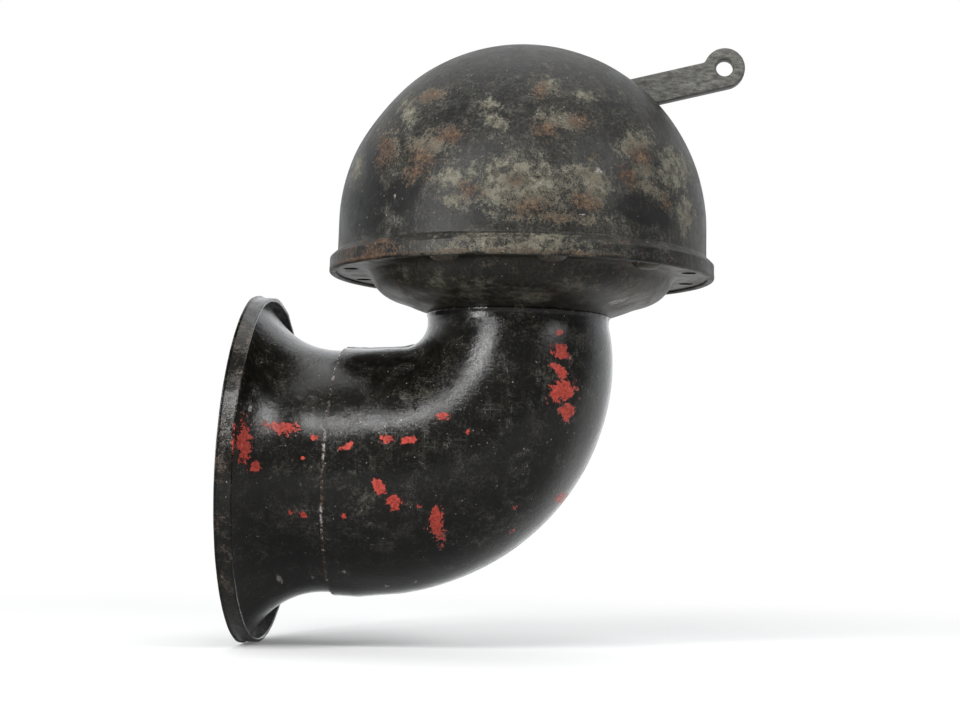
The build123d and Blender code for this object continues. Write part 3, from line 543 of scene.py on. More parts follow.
def applied(piece, name):
    """The piece's shape, modifiers and all, as a new mesh."""
    bpy.context.view_layer.update()
    depsgraph = bpy.context.evaluated_depsgraph_get()
    mesh = bpy.data.meshes.new_from_object(piece.evaluated_get(depsgraph))
    mesh.name = name
    return mesh


def ring_faces(rows, columns, wrap_rows):
    """Quads of a grid of rows that each close on themselves; the rows may close too."""
    faces = []
    for row in range(rows if wrap_rows else rows - 1):
        this, after = row * columns, (row + 1) % rows * columns
        for column in range(columns):
            ahead = (column + 1) % columns
            faces.append((this + column, this + ahead, after + ahead, after + column))
    return faces


def revolve(profile, segments, poles=False):
    """Points and faces of a closed solid of revolution about Z; profile is (r, z) anticlockwise.
    With poles, the profile's first and last points lie on the axis."""
    profile = np.asarray(profile, float)
    rim = profile[1:-1] if poles else profile
    angles = np.arange(segments) * 2 * pi / segments
    r, z = rim[:, :1], rim[:, 1:]
    grid = np.stack([r * np.cos(angles), r * np.sin(angles), z + 0 * angles], 2).reshape(-1, 3)
    faces = ring_faces(len(rim), segments, not poles)
    if poles:
        first, last = len(grid), len(grid) + 1
        grid = np.vstack([grid, [[0, 0, profile[0, 1]], [0, 0, profile[-1, 1]]]])
        top = (len(rim) - 1) * segments
        for column in range(segments):
            ahead = (column + 1) % segments
            faces.append((first, ahead, column))
            faces.append((last, top + column, top + ahead))
    return grid, faces


def smooth_line(points, per_span):
    """A Catmull-Rom curve through the points, with per_span steps between each two."""
    points = np.asarray(points, float)
    padded = np.vstack([2 * points[0] - points[1], points, 2 * points[-1] - points[-2]])
    out = []
    for index in range(len(points) - 1):
        a, b, c, d = padded[index : index + 4]
        for step in range(per_span):
            t = step / per_span
            square, cube = 2 * a - 5 * b + 4 * c - d, 3 * b - a - 3 * c + d
            out.append(0.5 * (2 * b + (c - a) * t + square * t**2 + cube * t**3))
    out.append(points[-1])
    return np.array(out)


def offset_line(line, distance):
    """The line moved sideways to its left by a distance."""
    along = np.gradient(line, axis=0)
    along /= np.linalg.norm(along, axis=1, keepdims=True)
    return line + distance * np.stack([-along[:, 1], along[:, 0]], 1)


def lumps(points, grain, seed):
    """Smooth noise from -1 to 1 at each point, with lumps about grain millimetres across."""
    shift = Vector((seed * 13.7, seed * 5.1, -seed * 9.3))
    return np.array([noise.noise(Vector(p) / grain + shift) for p in points])


def push(points, centre_line, amount):
    """Moves points away from their matching points on a centre line."""
    away = points - centre_line
    length = np.linalg.norm(away, axis=1, keepdims=True)
    return points + away / np.maximum(length, 1e-6) * amount[:, None]


def cut(piece, cutters):
    """Takes closed cutters away from the piece."""
    for cutter in cutters:
        modifier = piece.modifiers.new("cut", "BOOLEAN")
        modifier.operation = "DIFFERENCE"
        modifier.solver = "EXACT"
        modifier.object = cutter
    mesh = applied(piece, piece.name)
    piece.modifiers.clear()
    piece.data = mesh
    for cutter in cutters:
        bpy.data.objects.remove(cutter)
    smooth(mesh)
    mesh.set_sharp_from_angle(angle=radians(SHARP_DEG))


def points_of(piece):
    """The piece's points, in millimetres."""
    flat = np.empty(len(piece.data.vertices) * 3)
    piece.data.vertices.foreach_get("co", flat)
    return flat.reshape(-1, 3) / MM


def paint(piece, **fields):
    """Stores fields for the finish to read: each is a value per point, or one value for all."""
    for name, values in fields.items():
        attribute = piece.data.attributes.new(name, "FLOAT", "POINT")
        attribute.data.foreach_set("value", np.full(len(piece.data.vertices), values, np.float32))


def marks(points, places, front=True):
    """How deep each point lies in the nearest mark: 1 at a centre, 0 at its edge, down to -1 outside.
    The marks lie on the near half, towards -Y, or with front=False on the far half."""
    best = np.full(len(points), -1.0)
    side = points[:, 1] < 0 if front else points[:, 1] > 0
    for x, z, half_width, half_height, tilt in places:
        dx, dz = points[:, 0] - x, points[:, 2] - z
        c, s = cos(radians(tilt)), sin(radians(tilt))
        u, v = (dx * c + dz * s) / half_width, (dz * c - dx * s) / half_height
        depth = np.where(side, 1 - np.sqrt(u**2 + v**2), -1.0)
        best = np.maximum(best, depth)
    return best


def dress(piece, body, node, material):
    """Finishes a piece: what it rides on, what it stands for and its material."""
    piece.data.materials.clear()
    piece.data.materials.append(material)
    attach(piece, body)
    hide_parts(node)


# ---------------------------------------------------------------- dome cover
def dome_profile():
    """The closed (r, z) outline of the pressed cover, from the inner pole round to the outer pole."""
    inner_r = DOME_R - SHEET
    inner = [(inner_r * sin(a), DOME_CENTRE_Z + inner_r * cos(a)) for a in np.linspace(0, pi / 2, 46)]
    inner += [(inner_r, z) for z in (16.0, 12.0, 9.0)]
    inner += [(77.75, 7.7), (78.9, 6.7), (80.2, 5.6), (81.2, 4.6), (81.3, 3.4), (81.3, 1.8), (81.25, 0.4)]
    lip = [(80.9, 0.05), (80.2, 0.02), (LIP_INNER_R, -0.05), (LIP_INNER_R - 0.1, -0.55), (79.8, -1.05)]
    bead = smooth_line(
        [(79.8, -1.05), (80.8, -1.2), (81.75, -1.12), (82.35, -0.6), (SKIRT_R, 0.2), (82.42, 1.4),
         (82.38, 3.2), (82.36, 4.6), (82.2, 5.15), (81.75, 5.6), (80.9, 6.35), (80.0, 7.15),
         (79.35, 7.75), (79.02, 8.1), (DOME_R, 8.6), (DOME_R, 9.6)], 3,
    )[1:]
    wall = [(DOME_R, z) for z in np.linspace(10.8, 19.5, 8)]
    outer = [(DOME_R * cos(a), DOME_CENTRE_Z + DOME_R * sin(a)) for a in np.linspace(0, pi / 2, 92)]
    return inner + lip + [tuple(p) for p in bead] + wall + outer


def dent(points, centre, radius, depth):
    """An inward dent in the dome, fading to nothing at its radius."""
    reach = np.linalg.norm(points - np.array(centre), axis=1) / radius
    return -depth * np.clip(1 - reach**2, 0, 1) ** 2


def battered_dome():
    """The dome's points and faces before the slot is cut: dented above, unevenly crimped below."""
    points, faces = revolve(dome_profile(), 320, poles=True)
    middle = np.array([0, 0, DOME_CENTRE_Z])
    axis = np.where(points[:, 2:] > DOME_CENTRE_Z, middle, points * np.array([0, 0, 1]))
    shell = np.clip((points[:, 2] - 9) / 12, 0, 1)
    wander = 0.34 * lumps(points, 46, 1) + 0.14 * lumps(points, 17, 2)
    dents = sum(dent(points, place, radius, depth) for *place, radius, depth in DOME_DENTS)
    points = push(points, axis, (wander - 0.2 + dents) * shell)
    low = points[:, 2] < 6
    radius = np.hypot(points[:, 0], points[:, 1])
    crimp = low & (radius < 80.5)
    ripple = 0.35 * lumps(points, 5.5, 3) + 0.12 * lumps(points, 1.9, 4)
    edge = 0.10 * lumps(points, 15, 5) + 0.05 * lumps(points, 4, 6) - 0.12
    shift = np.where(crimp, ripple, edge * low)
    points[:, :2] *= 1 + (shift / np.maximum(radius, 1))[:, None] * (radius > 70)[:, None]
    return points, faces


def slot_cutter():
    """The wedge that the lever's slot takes out of the dome."""
    slot_low, slot_high = SLOT_DEG
    half_way = (slot_low + slot_high) / 2
    outline = []
    for angle, reach in ((slot_low, 66), (slot_low, 92), (half_way, 96), (slot_high, 92), (slot_high, 66)):
        turn = radians(angle)
        outline.append((reach * cos(turn), DOME_CENTRE_Z + reach * sin(turn)))
    count = len(outline)
    corners = [(x, y, z) for y in (-SLOT_HALF_WIDTH, SLOT_HALF_WIDTH) for x, z in outline]
    sides = [(i, (i + 1) % count, (i + 1) % count + count, i + count) for i in range(count)]
    ends = [tuple(range(count))[::-1], tuple(range(count, 2 * count))]
    return make_piece("slot_cutter", corners, sides + ends)


def wear_dome(piece):
    """Paints the dome's wear, with painted sheen among its stain marks. The band is the skirt with its
    shoulder, which wears in its own way.
    The far side repeats every second mark of the near one, swapped left for right."""
    points = points_of(piece)
    x, z, radius = points[:, 0], points[:, 2], np.hypot(points[:, 0], points[:, 1])
    band = (z < 7.2) & (radius > 79)
    band_face = band & (z > 0.6)
    outside = np.linalg.norm(points - np.array([0, 0, DOME_CENTRE_Z]), axis=1) > DOME_R - 0.75
    mirrored = points * np.array([-1, 1, 1])
    far_rust, far_stain_and_sheen = (marks(mirrored, near[::2], front=False) for near in (DOME_RUST, DOME_STAIN_AND_SHEEN))

    rust = np.maximum(marks(points, DOME_RUST) * 1.1, -0.55 + 0.25 * lumps(points, 30, 8))
    rusty = np.exp(-(((x + 56) / 13) ** 2)) * (points[:, 1] < 30)
    rust = np.where(band, -0.12 + 0.80 * rusty + 0.45 * lumps(points, 10, 13), rust)
    rust = np.where(band & (z < 0.9) & (z > -0.4) & (x < 45), rust + 0.55, rust)
    rust = np.where(outside | band, rust, 0.0)
    rust = np.where(band | ~outside, rust, np.maximum(rust, far_rust))

    # The stain field here carries painted sheen as well as stain, on the near half and on its mirrored copy
    # behind.
    stain = np.maximum(marks(points, DOME_STAIN_AND_SHEEN) * 1.3, far_stain_and_sheen * 1.1)
    stain = np.maximum(stain, -0.45 + 0.3 * lumps(points, 40, 9))
    stain -= 1.3 * np.clip(marks(points, DOME_CLEAN) * 1.8, 0, 1)
    pale = np.clip(1.25 - ((x + 2) / 38) ** 2, -0.75, 1)
    stain = np.where(band, -0.30 + 0.75 * pale + 0.5 * lumps(points, 14, 12), stain)

    bare = np.where(band_face, -0.12 + 0.25 * lumps(points, 12, 10), -0.7)
    bare = np.maximum(bare, marks(points, DOME_BARE) * 0.8)
    chips = np.where(band_face, -0.16 + 0.2 * lumps(points, 16, 11), -0.9)
    paint(piece, rust=rust, stain=stain, bare=bare, chips=chips)


def build_dome(material):
    """The cover: a slightly battered hemisphere with a crimped skirt and the slot for the lever."""
    points, faces = battered_dome()
    piece = make_piece("dome_cover_looks", points, faces)
    cut(piece, [slot_cutter()])
    wear_dome(piece)
    dress(piece, "housing", "dome_cover", material)


# ---------------------------------------------------------------- base pan
def on_bolt_circle(angle):
    """The place on the bolt circle at an angle in degrees."""
    return BOLT_CIRCLE_R * cos(radians(angle)), BOLT_CIRCLE_R * sin(radians(angle))


def cylinder(name, x, y, radius, low, high, sides=40):
    """A closed upright cylinder, used to cut holes."""
    points, faces = revolve([(0, low), (radius, low), (radius, high), (0, high)], sides, poles=True)
    return make_piece(name, points + np.array([x, y, 0]), faces)


def build_pan(material):
    """The dished pan with its flange, bolt holes and a soft, slightly beaten surface."""
    dish = smooth_line(
        [(TUBE_R - 2.0, THROAT_Z - 0.5), (44.5, -15.1), (50.0, -12.9), (55.0, -11.3), (58.6, -9.6),
         (61.4, -7.3), (63.3, -4.9), (64.5, -2.4), (65.6, -0.7), (67.2, -0.02)], 6,
    )
    under = np.vstack([dish, [(r, 0.0) for r in np.linspace(68.5, STACK_R, 10)]])
    upper = offset_line(under, PAN_SHEET)[::-1]
    upper[:9, 1] = PAN_SHEET
    upper[:, 0] = np.clip(upper[:, 0], TUBE_R - 2.0, STACK_R)
    points, faces = revolve(np.vstack([under, upper]), 288)
    radius = np.hypot(points[:, 0], points[:, 1])
    beaten = (0.28 * lumps(points, 26, 21) + 0.12 * lumps(points, 9, 22)) * np.clip((66.5 - radius) / 8, 0, 1)
    points[:, 2] += beaten * np.clip((radius - 40) / 4, 0, 1)
    piece = make_piece("base_pan_looks", points, faces)
    cutters = [cylinder("throat", TUBE_X, 0, TUBE_R + 0.05, -30, -10, 160)]
    for index, angle in enumerate(OPEN_ANGLES + SCREW_ANGLES):
        hole = OPEN_HOLE_R if angle in OPEN_ANGLES else SCREW_R
        cutters.append(cylinder(f"hole_{index}", *on_bolt_circle(angle), hole, -3, 5))
    cut(piece, cutters)
    points = points_of(piece)
    radius = np.hypot(points[:, 0], points[:, 1])
    stain = np.maximum(marks(points, PAN_STAIN) * 0.9, -0.30 + 0.35 * lumps(points, 22, 23))
    rust = -0.30 + 0.35 * lumps(points, 18, 24) + 0.18 * np.clip((radius - 60) / 12, 0, 1)
    bare = np.maximum(marks(points, PAN_BARE) * 0.9, -0.7)
    paint(piece, stain=stain, rust=rust, bare=bare, chips=-0.9)
    dress(piece, "housing", "base_pan", material)


def build_screws(material):
    """The round heads under the flange, each a little different, on their shanks."""
    head = [(0, -HEAD_HEIGHT), (1.8, -2.54), (3.4, -2.3), (4.6, -1.82), (5.5, -1.14), (5.93, -0.5)]
    head.append((HEAD_R, 0.0))
    shank = [(SCREW_R, 0.02), (SCREW_R, 3.0), (SCREW_R, 6.2), (2.2, 6.5), (0, 6.5)]
    points, faces = [], []
    for index, angle in enumerate(SCREW_ANGLES):
        one, quads = revolve(smooth_line(head, 3).tolist() + shank, 44, poles=True)
        below = one[:, 2] < 0
        one[below] *= 1 + 0.03 * lumps(one[below] + 40 * index, 4, 31)[:, None]
        one[:, 2] = np.maximum(one[:, 2], -HEAD_HEIGHT - 0.1)
        start = sum(len(p) for p in points)
        points.append(one + np.array([*on_bolt_circle(angle), 0]))
        faces += [tuple(corner + start for corner in face) for face in quads]
    points = np.vstack(points)
    piece = make_piece("flange_screws_looks", points, faces)
    rust, stain = -0.05 + 0.4 * lumps(points, 9, 32), -0.2 + 0.4 * lumps(points, 12, 33)
    paint(piece, rust=rust, stain=stain, bare=-0.5, chips=-0.9)
    dress(piece, "housing", "flange_screws", material)


# ---------------------------------------------------------------- elbow
def elbow_stations():
    """The sections down the elbow: (centre x, centre z, direction angle, radius), top to collar end."""
    stations = []
    for z in np.linspace(ELBOW_TOP_Z, BEND_Z, 15)[:-1]:
        stations.append((TUBE_X, z, 0.0, TUBE_R))
    for turn in np.linspace(0, pi / 2, 84):
        radius = TUBE_R + BEND_GROWTH * turn / (pi / 2)
        reach = BEND_INNER_R + radius
        stations.append((BEND_X + reach * cos(turn), BEND_Z - reach * sin(turn), turn, radius))
    last_x, last_z, last_turn, last_radius = stations[-1]
    for part in np.linspace(0, 1, 16)[1:]:
        x = last_x + (COLLAR_AT[0] - last_x) * part
        z = last_z + (COLLAR_AT[1] - last_z) * part
        turn = last_turn + BELL_TILT * part
        stations.append((x, z, turn, last_radius + (COLLAR_R - last_radius) * part**1.3))
    collar = (0.8, 1.6, 2.4, 3.2, 4.0, 4.8, 5.6, 6.4, 7.2, 7.9, 8.3, 8.6, 8.9, 9.15, 9.35, COLLAR_LENGTH)
    for along in collar:
        x = COLLAR_AT[0] - along * cos(BELL_TILT)
        z = COLLAR_AT[1] + along * sin(BELL_TILT)
        stations.append((x, z, pi / 2 + BELL_TILT, COLLAR_R))
    return stations


def build_elbow(material):
    """The widening elbow, with its brazed joint, its welded seam and the collar round the bell."""
    stations = elbow_stations()
    columns = 224
    around = np.arange(columns) * 2 * pi / columns
    loops, lines, seams = [], [], []
    order = [(s, 0.0) for s in stations]
    order += [(stations[-1], 0.4), (stations[-1], 0.8)]
    order += [(s, SHEET) for s in stations[::-3]]
    order += [(stations[0], SHEET), (stations[0], 0.6)]
    for (x, z, turn, radius), inset in order:
        out_x, out_z = cos(turn), -sin(turn)
        r = radius - inset
        loops.append(
            np.stack([x + r * np.cos(around) * out_x, r * np.sin(around), z + r * np.cos(around) * out_z], 1)
        )
        lines.append(np.tile([x, 0, z], (columns, 1)))
        inner_side = np.abs(around - pi) * radius
        outer_side = np.minimum(around, 2 * pi - around) * radius
        strength = np.clip((turn - 1.02) / 0.10, 0, 1) if inset == 0 else 0.0
        ridge = 0.62 * strength * np.clip((2.2 - inner_side) / 0.8, 0, 1)
        seams.append(ridge + 0.2 * (inset == 0) * np.exp(-((outer_side / 1.3) ** 2)))
    points, centre = np.vstack(loops), np.vstack(lines)
    seam = np.concatenate(seams)
    fade = np.clip((-19.5 - points[:, 2]) / 8, 0, 1) * np.clip((points[:, 0] + 73) / 8, 0, 1)
    wander = 0.35 * lumps(points, 52, 41) + 0.15 * lumps(points, 19, 42) + 0.15
    ragged = 1 + 0.25 * lumps(points, 3.5, 43)
    outer_part = np.linalg.norm(points - centre, axis=1) > TUBE_R - 0.7
    bead = np.exp(-(((points[:, 2] - THROAT_Z + 0.7) / 0.85) ** 2)) * outer_part * (points[:, 2] > -20.6)
    bead *= 0.45 * (1 + 0.8 * lumps(points, 3.2, 44))
    points = push(points, centre, wander * fade + seam * ragged + bead)
    piece = make_piece("elbow_looks", points, ring_faces(len(order), columns, True))
    points = points_of(piece)
    chips = np.maximum(marks(points, ELBOW_CHIPS), marks(points, BACK_CHIPS, front=False))
    chips = np.where(chips > -0.95, chips, -0.42 + 0.20 * lumps(points, 22, 45))
    past = (COLLAR_AT[0] - points[:, 0]) * cos(BELL_TILT) + (points[:, 2] - COLLAR_AT[1]) * sin(BELL_TILT)
    # The collar's last millimetre and a half gets rust and paint rubbed through to bare steel; the bare strip
    # is also a painted highlight where the rounded end catches light.
    edge = np.clip((past - COLLAR_LENGTH + 1.5) / 0.4, 0, 1)
    rust = -0.75 + 0.4 * lumps(points, 24, 46) + 1.1 * edge + 0.5 * bead
    stain = np.maximum(marks(points, ELBOW_STAIN) * 0.55, -0.5 + 0.32 * lumps(points, 30, 47))
    worn_edge_and_highlight = -0.62 + 0.4 * bead + (1.02 + 0.15 * lumps(points, 7, 48)) * edge
    bare = np.maximum(marks(points, ELBOW_BARE) * 0.8, worn_edge_and_highlight)
    paint(piece, chips=chips, rust=rust, stain=stain, bare=bare)
    dress(piece, "housing", "elbow", material)


# ---------------------------------------------------------------- bell
def flare(radius, along):
    """The bell's radius on a flare arc of that radius, at a distance along the axis."""
    return COLLAR_R - SHEET + FLARE_R - sqrt(radius**2 - (along - NECK_END) ** 2)


def build_bell(material):
    """The flared bell with its neck inside the collar and its turned-back lip."""
    neck = COLLAR_R - SHEET - 0.03
    lip_inner = LIP_R - LIP_THICKNESS
    root = NECK_END + sqrt(FLARE_R**2 - (COLLAR_R - SHEET + FLARE_R - lip_inner) ** 2)
    inner_flare = NECK_END + (MOUTH - 0.4 - NECK_END) * np.linspace(0, 1, 60)[1:] ** 0.85
    outer_flare = NECK_END + (root - 0.35 - NECK_END) * np.linspace(1, 0, 60) ** 0.85
    inside = [(neck - SHEET, s) for s in np.linspace(NECK_START, NECK_END, 8)]
    inside += [(flare(FLARE_R + SHEET, s), s) for s in inner_flare]
    rim = smooth_line([(74.2, 47.85), (74.9, 48.0), (75.35, 47.6), (LIP_R, 46.9)], 4)
    back = [(LIP_R, s) for s in np.linspace(46.3, LIP_BACK + 0.5, 10)]
    back += [(LIP_R - 0.12, LIP_BACK + 0.15), (LIP_R - 0.5, LIP_BACK)]
    back += [(lip_inner + 0.35, LIP_BACK), (lip_inner, LIP_BACK + 0.3)]
    back += [(lip_inner, s) for s in np.linspace(LIP_BACK + 0.9, root - 0.2, 8)]
    outside = [(flare(FLARE_R, s), s) for s in outer_flare]
    outside += [(neck, s) for s in np.linspace(NECK_END, NECK_START, 8)[1:]]
    profile = np.array(inside + [tuple(p) for p in rim] + back + outside)
    points, faces = revolve(profile, BELL_SIDES)
    along = points[:, 2].copy()
    radius = np.hypot(points[:, 0], points[:, 1])
    up = points[:, 0] / np.maximum(radius, 1)
    free = np.clip((along - NECK_END) / 12, 0, 1)
    lip = (along > LIP_BACK - 0.5) & (radius > lip_inner - 0.4)
    wander = 0.45 * lumps(points, 48, 51) + 0.16 * lumps(points, 15, 52) - 0.25
    flat = -0.9 * np.clip((up - 0.93) / 0.07, 0, 1)
    rough_edge = 0.16 * lumps(points, 4.5, 53) - 0.12
    swell = wander * free + flat * lip + rough_edge * lip
    points[:, :2] *= (1 + swell / np.maximum(radius, 1))[:, None]
    edge = lip & (along < LIP_BACK + 0.8)
    points[:, 2] += np.where(edge, 0.22 * lumps(points, 9, 54) + 0.10 * lumps(points, 2.2, 55) + 0.12, 0)
    outer = np.arange(len(points)) >= (len(inside) + len(rim)) * BELL_SIDES
    axis = Vector((-cos(BELL_TILT), 0, sin(BELL_TILT)))
    upward = Vector((sin(BELL_TILT), 0, cos(BELL_TILT)))
    basis = np.array([upward, axis.cross(upward), axis])
    points = points @ basis + np.array([COLLAR_AT[0], 0, COLLAR_AT[1]])
    piece = make_piece("bell_looks", points, faces)
    points = points_of(piece)
    chips = np.maximum(marks(points, BELL_CHIPS), marks(points, BACK_CHIPS, front=False))
    chips = np.where(outer & (chips > -0.95), chips, -0.40 + 0.20 * lumps(points, 20, 56))
    # The neck near the collar is rustier; just past the collar's end this is also painted shade beside the
    # collar's step.
    rust = -0.42 + 0.3 * lumps(points, 20, 57) + 0.26 * lip + 0.22 * (along < NECK_END - 1.5)
    stain = -0.38 + 0.32 * lumps(points, 28, 58) + 0.10 * lip
    bare = np.maximum(marks(points, BELL_BARE) * 0.8, -0.48 + 0.22 * lip)
    paint(piece, chips=chips, rust=rust, stain=stain, bare=bare)
    dress(piece, "housing", "bell", material)


# ---------------------------------------------------------------- lever
def arc(centre, radius, start, end, count):
    """Points on an arc from one angle to another, in degrees."""
    return [
        (centre[0] + radius * cos(radians(a)), centre[1] + radius * sin(radians(a)))
        for a in np.linspace(start, end, count)
    ]


def lever_outline():
    """The outline of the arm in its own plane, anticlockwise from the lower side of the hub."""
    half = ARM_WIDTH / 2
    eye = (EYE_REACH, EYE_R - half)
    hub_angle = asin(half / HUB_R) * 180 / pi
    corner = asin((half - eye[1] + CORNER_R) / (EYE_R + CORNER_R)) * 180 / pi
    corner_x = eye[0] - (EYE_R + CORNER_R) * cos(radians(corner))
    outline = arc((0, 0), HUB_R, hub_angle, 360 - hub_angle, 60)
    outline += [(x, -half) for x in np.linspace(16, EYE_REACH - 3, 12)]
    outline += arc(eye, EYE_R, -90, 180 - corner, 60)
    outline += arc((corner_x, half + CORNER_R), CORNER_R, 360 - corner, 270, 8)
    outline += [(x, half) for x in np.linspace(corner_x - 3, 14, 12)]
    return outline


def build_lever(material):
    """The forged arm: rounded edges, a drilled eye and a rough, hammered face."""
    curve = bpy.data.curves.new("lever_outline", "CURVE")
    curve.dimensions = "2D"
    curve.fill_mode = "BOTH"
    curve.extrude = (LEVER_HALF - EDGE_ROUND) * MM
    curve.bevel_depth = EDGE_ROUND * MM
    curve.bevel_resolution = 4
    curve.offset = -EDGE_ROUND * MM
    eye = (EYE_REACH, EYE_R - ARM_WIDTH / 2)
    holes = [arc((0, 0), LEVER_SHAFT_R, 360, 0, 41)[:-1], arc(eye, EYE_HOLE_R, 360, 0, 41)[:-1]]
    for line in [lever_outline()] + holes:
        spline = curve.splines.new("POLY")
        spline.points.add(len(line) - 1)
        for point, (x, y) in zip(spline.points, line):
            point.co = (x * MM, y * MM, 0, 1)
        spline.use_cyclic_u = True
    maker = bpy.data.objects.new("lever_outline", curve)
    bpy.context.scene.collection.objects.link(maker)
    piece = bpy.data.objects.new("lever_arm_looks", applied(maker, "lever_blank"))
    bpy.context.scene.collection.objects.link(piece)
    bpy.data.objects.remove(maker)
    weld = piece.modifiers.new("weld", "WELD")
    weld.merge_threshold = 0.00001
    even = piece.modifiers.new("even", "REMESH")
    even.mode = "VOXEL"
    even.voxel_size = LEVER_VOXEL * MM
    soften = piece.modifiers.new("soften", "SMOOTH")
    soften.iterations = 3
    mesh = applied(piece, piece.name)
    piece.modifiers.clear()
    piece.data = mesh
    points = points_of(piece)
    face = np.clip((np.abs(points[:, 2]) - 2.2) / 0.7, 0, 1)
    pitted = 0.16 * lumps(points, 3.4, 61) + 0.12 * lumps(points, 1.3, 62) - 0.10
    points[:, 2] += np.sign(points[:, 2]) * face * pitted
    turn = Matrix(
        ((cos(LEVER_REST), -sin(LEVER_REST), 0), (0, 0, -1), (sin(LEVER_REST), cos(LEVER_REST), 0))
    )
    placed = points @ np.array(turn).T + np.array([LEVER_AT[0], 0, LEVER_AT[1]])
    mesh.vertices.foreach_set("co", (placed * MM).ravel())
    mesh.update()
    smooth(mesh)
    paint(piece, face=face)
    dress(piece, "lever", "lever_arm", material)


# ---------------------------------------------------------------- where the wear is
# Each dent is (x, y, z, radius, depth), in millimetres.
DOME_DENTS = (
    (56, -54, 27, 15, 0.7), (-42, -62, 30, 17, 0.5), (34, -70, 33, 20, 0.5), (-60, -20, 66, 22, 0.5),
    (30, 62, 50, 24, 0.8), (-50, 58, 22, 18, 0.6),
)
# Each mark is (x, z, half width, half height, tilt in degrees), in millimetres, seen from -Y.
DOME_RUST = (
    (-36, 39, 10, 8, -20), (-39, 33, 6, 6, 0), (-53, 44, 6, 10, 10), (-35, 67, 7, 4, 0),
    (10, 68, 4, 6, 0), (13, 50, 6, 6, 0), (26, 54, 6, 5, 0), (50, 42, 8, 7, -30),
    (57, 26, 9, 4, -15), (45, 33, 5, 7, 30), (8, 18, 11, 6, 0), (-16, 24, 7, 5, 0),
    (29, 21, 8, 5, 0), (-25, 47, 9, 5, 0), (20, 14, 14, 3, 0), (2, 28, 6, 4, 0),
)
DOME_CLEAN = ((-62, 24, 14, 16, 0), (-56, 42, 10, 14, 15), (-44, 24, 9, 9, 0), (52, 20, 17, 7, -10))
# Most stain marks are pale stain, but those at (-24, 30) and (30, 31) are painted sheen where the dome
# reflects the windows.
DOME_STAIN_AND_SHEEN = (
    (3, 26, 27, 13, -8), (-24, 30, 9, 6, -10), (30, 31, 11, 8, 0), (47, 46, 12, 7, 40), (-52, 44, 8, 13, 10),
    (-6, 52, 8, 4, -35), (-10, 60, 6, 4, 10), (6, 22, 17, 8, 0), (12, 70, 7, 5, 0), (-33, 43, 12, 6, -15),
    (34, 24, 9, 5, 10), (-20, 21, 8, 5, 0), (55, 28, 8, 4, -20), (52, 37, 7, 6, 0), (16, 55, 9, 5, 0),
    (-35, 67, 7, 4, 0), (28, 66, 5, 4, 0), (20, 14, 22, 3, 0), (-44, 60, 5, 8, 20), (24, 53, 6, 4, 0),
    (64, 40, 8, 12, 0), (68, 22, 6, 9, 0), (-66, 38, 5, 12, 10),
)
DOME_BARE = ((-47, 24, 1.6, 2.2, 20), (34, 34, 3.5, 2.5, 0), (28, 16, 4, 2, 0))
PAN_STAIN = (
    (-17, -12, 9, 5, 0), (27, -9, 9, 5, 0), (48, -10, 12, 6, 0), (-30, -10, 8, 5, 0), (6, -13, 10, 4, 0),
)
PAN_BARE = ((42, -13, 9, 1.0, 16),)
ELBOW_CHIPS = (
    (19, -35, 6.5, 4.5, -30), (19, -43, 6.5, 3.2, -35), (20, -51, 8.5, 7.0, 30), (22, -59, 4.5, 6.0, -25),
    (-29, -107, 4.6, 11.5, 5), (-52, -92, 7.0, 3.2, -48), (-46, -98, 5.5, 4.5, 0), (-27, -63, 5.0, 2.4, 0),
    (-49, -73, 4.5, 2.8, 0), (-41, -73, 5.0, 2.6, 10), (-66, -76, 4.6, 2.2, 20), (20, -95, 4.5, 4.0, 40),
    (-36, -99, 1.8, 1.5, 0), (-66, -104, 1.8, 1.6, 0), (19, -27, 3.6, 1.8, 0), (2, -99, 2.4, 1.7, 20),
    (0, -109, 2.0, 1.5, 0), (-17, -69, 1.6, 1.4, 0),
)
ELBOW_BARE = ((-40, -131, 2.0, 1.5, 0), (-52, -133, 2.5, 1.3, 0), (-68, -127, 2.0, 1.5, 0))
ELBOW_STAIN = (
    (8, -25, 8, 6, 0), (28, -30, 7, 9, 0), (14, -46, 5, 6, 0), (-42, -54, 9, 3, 0), (-58, -97, 7, 9, 0),
    (-4, -108, 12, 7, 30),
)
BELL_CHIPS = (
    (-105, -76, 3.8, 13.0, 4), (-92, -69, 9.5, 3.8, -5), (-79, -73, 2.4, 1.8, 0), (-83, -104, 2.8, 1.9, 0),
    (-83, -81, 1.8, 1.5, 0), (-101, -85, 2.6, 4.0, 10), (-88, -103, 1.6, 1.4, 0),
)
BELL_BARE = ((-95, -131, 2.0, 4.5, 10), (-82, -130, 1.8, 1.8, 0), (-104, -62, 1.5, 3.0, 0))
BACK_CHIPS = (
    (-92, -60, 6.0, 3.5, 20), (-70, -105, 4.0, 7.0, -10), (-40, -70, 6.0, 3.0, 30), (-18, -96, 4.0, 5.5, 0),
    (10, -58, 4.5, 6.0, 15), (22, -38, 3.5, 2.5, 0), (-104, -112, 3.0, 7.0, -8), (-55, -128, 4.0, 2.5, 0),
)


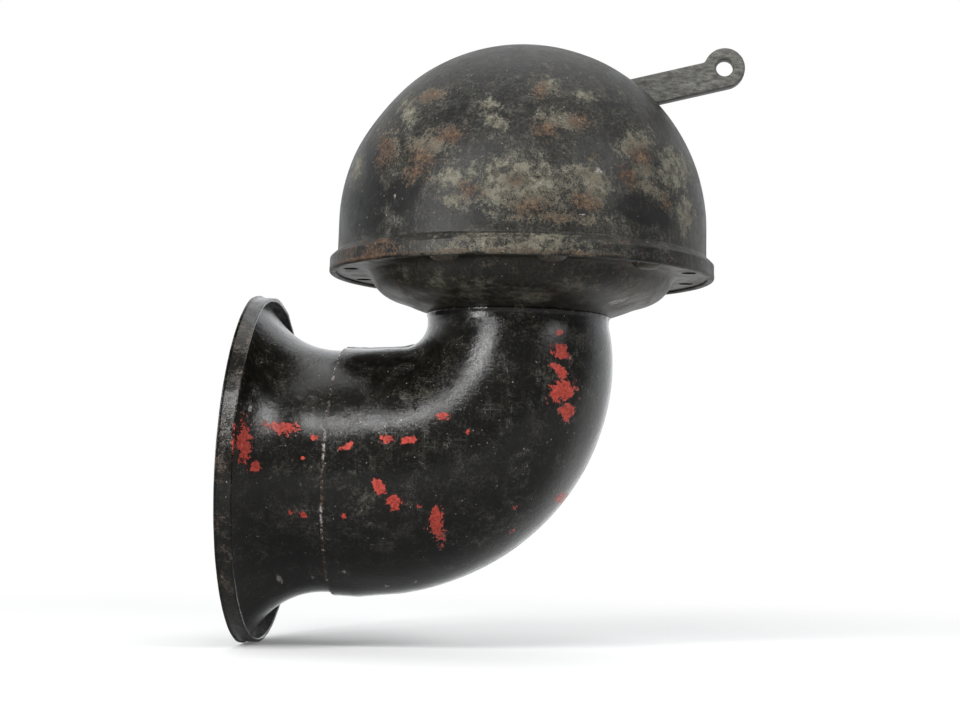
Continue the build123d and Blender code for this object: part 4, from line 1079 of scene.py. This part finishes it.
# ---------------------------------------------------------------- the whole
def dress_inner_nodes():
    """Gives each CAD piece that shows or is found inside its own procedural finish."""
    finishes = {
        "frame_steel": metal("frame_steel", (0.30, 0.30, 0.29), 0.38, (0.085, 0.055, 0.035)),
        "spring_steel": metal("spring_steel", (0.20, 0.21, 0.24), 0.30, (0.07, 0.05, 0.04), turned=True),
        "hard_steel": metal("hard_steel", (0.42, 0.42, 0.42), 0.24, (0.10, 0.075, 0.05), turned=True),
        "plated_steel": metal("plated_steel", (0.46, 0.45, 0.42), 0.32, (0.14, 0.09, 0.05)),
        "gear_steel": metal("gear_steel", (0.34, 0.34, 0.34), 0.30, (0.07, 0.05, 0.035)),
        "gear_brass": metal("gear_brass", (0.55, 0.40, 0.17), 0.30, (0.14, 0.10, 0.05)),
        "bronze": metal("bronze", (0.45, 0.27, 0.13), 0.33, (0.10, 0.06, 0.035), turned=True),
        "rotor_iron": forged("rotor_iron"),
        "gasket_fibre": fibre("gasket_fibre"),
    }
    slots = {entry["node"]: entry["material_slot"] for entry in frame["record"]["subparts"]}
    for name, node in nodes.items():
        if slots[name] in finishes:
            node.data.materials.clear()
            node.data.materials.append(finishes[slots[name]])


def bend_spring(node):
    """A fixed copy of the spring node's mesh, which stands in for the hidden node."""
    piece = bpy.data.objects.new(node + "_looks", nodes[node].data.copy())
    bpy.context.scene.collection.objects.link(piece)
    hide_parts(node)
    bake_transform(piece)


bpy.context.scene.view_settings.view_transform = "Standard"
place_camera()
light_world()
for window in WINDOWS:
    softbox(*window)
lay_floor()

build_dome(
    enamel(
        "dome_enamel", (0.008, 0.008, 0.0075), (0.030, 0.028, 0.022), (0.066, 0.062, 0.046),
        gloss=0.40, haze=0.24, film=0.85, shine=0.28,
    )
)
build_pan(
    enamel(
        "pan_enamel", (0.012, 0.0115, 0.0095), (0.036, 0.031, 0.020), (0.052, 0.045, 0.027),
        gloss=0.36, haze=0.14, film=0.45, shine=0.36,
    )
)
build_screws(
    enamel(
        "rivet_black", (0.040, 0.036, 0.030), (0.085, 0.070, 0.050), (0.10, 0.085, 0.060),
        gloss=0.40, haze=0.20, film=0.6, shine=0.4,
    )
)
build_elbow(
    enamel(
        "elbow_enamel", (0.0042, 0.0040, 0.0036), (0.0105, 0.0097, 0.0070), (0.024, 0.022, 0.015),
        gloss=0.09, haze=0.10, film=0.26, shine=0.20, coat=0.42,
    )
)
build_bell(
    enamel(
        "bell_enamel", (0.0046, 0.0044, 0.0038), (0.0115, 0.0105, 0.0076), (0.026, 0.024, 0.017),
        gloss=0.12, haze=0.11, film=0.28, shine=0.20, coat=0.40,
    )
)
build_lever(forged("lever_iron", painted=True))
dress_inner_nodes()
bend_spring("return_spring")
bend_spring("pawl_spring")
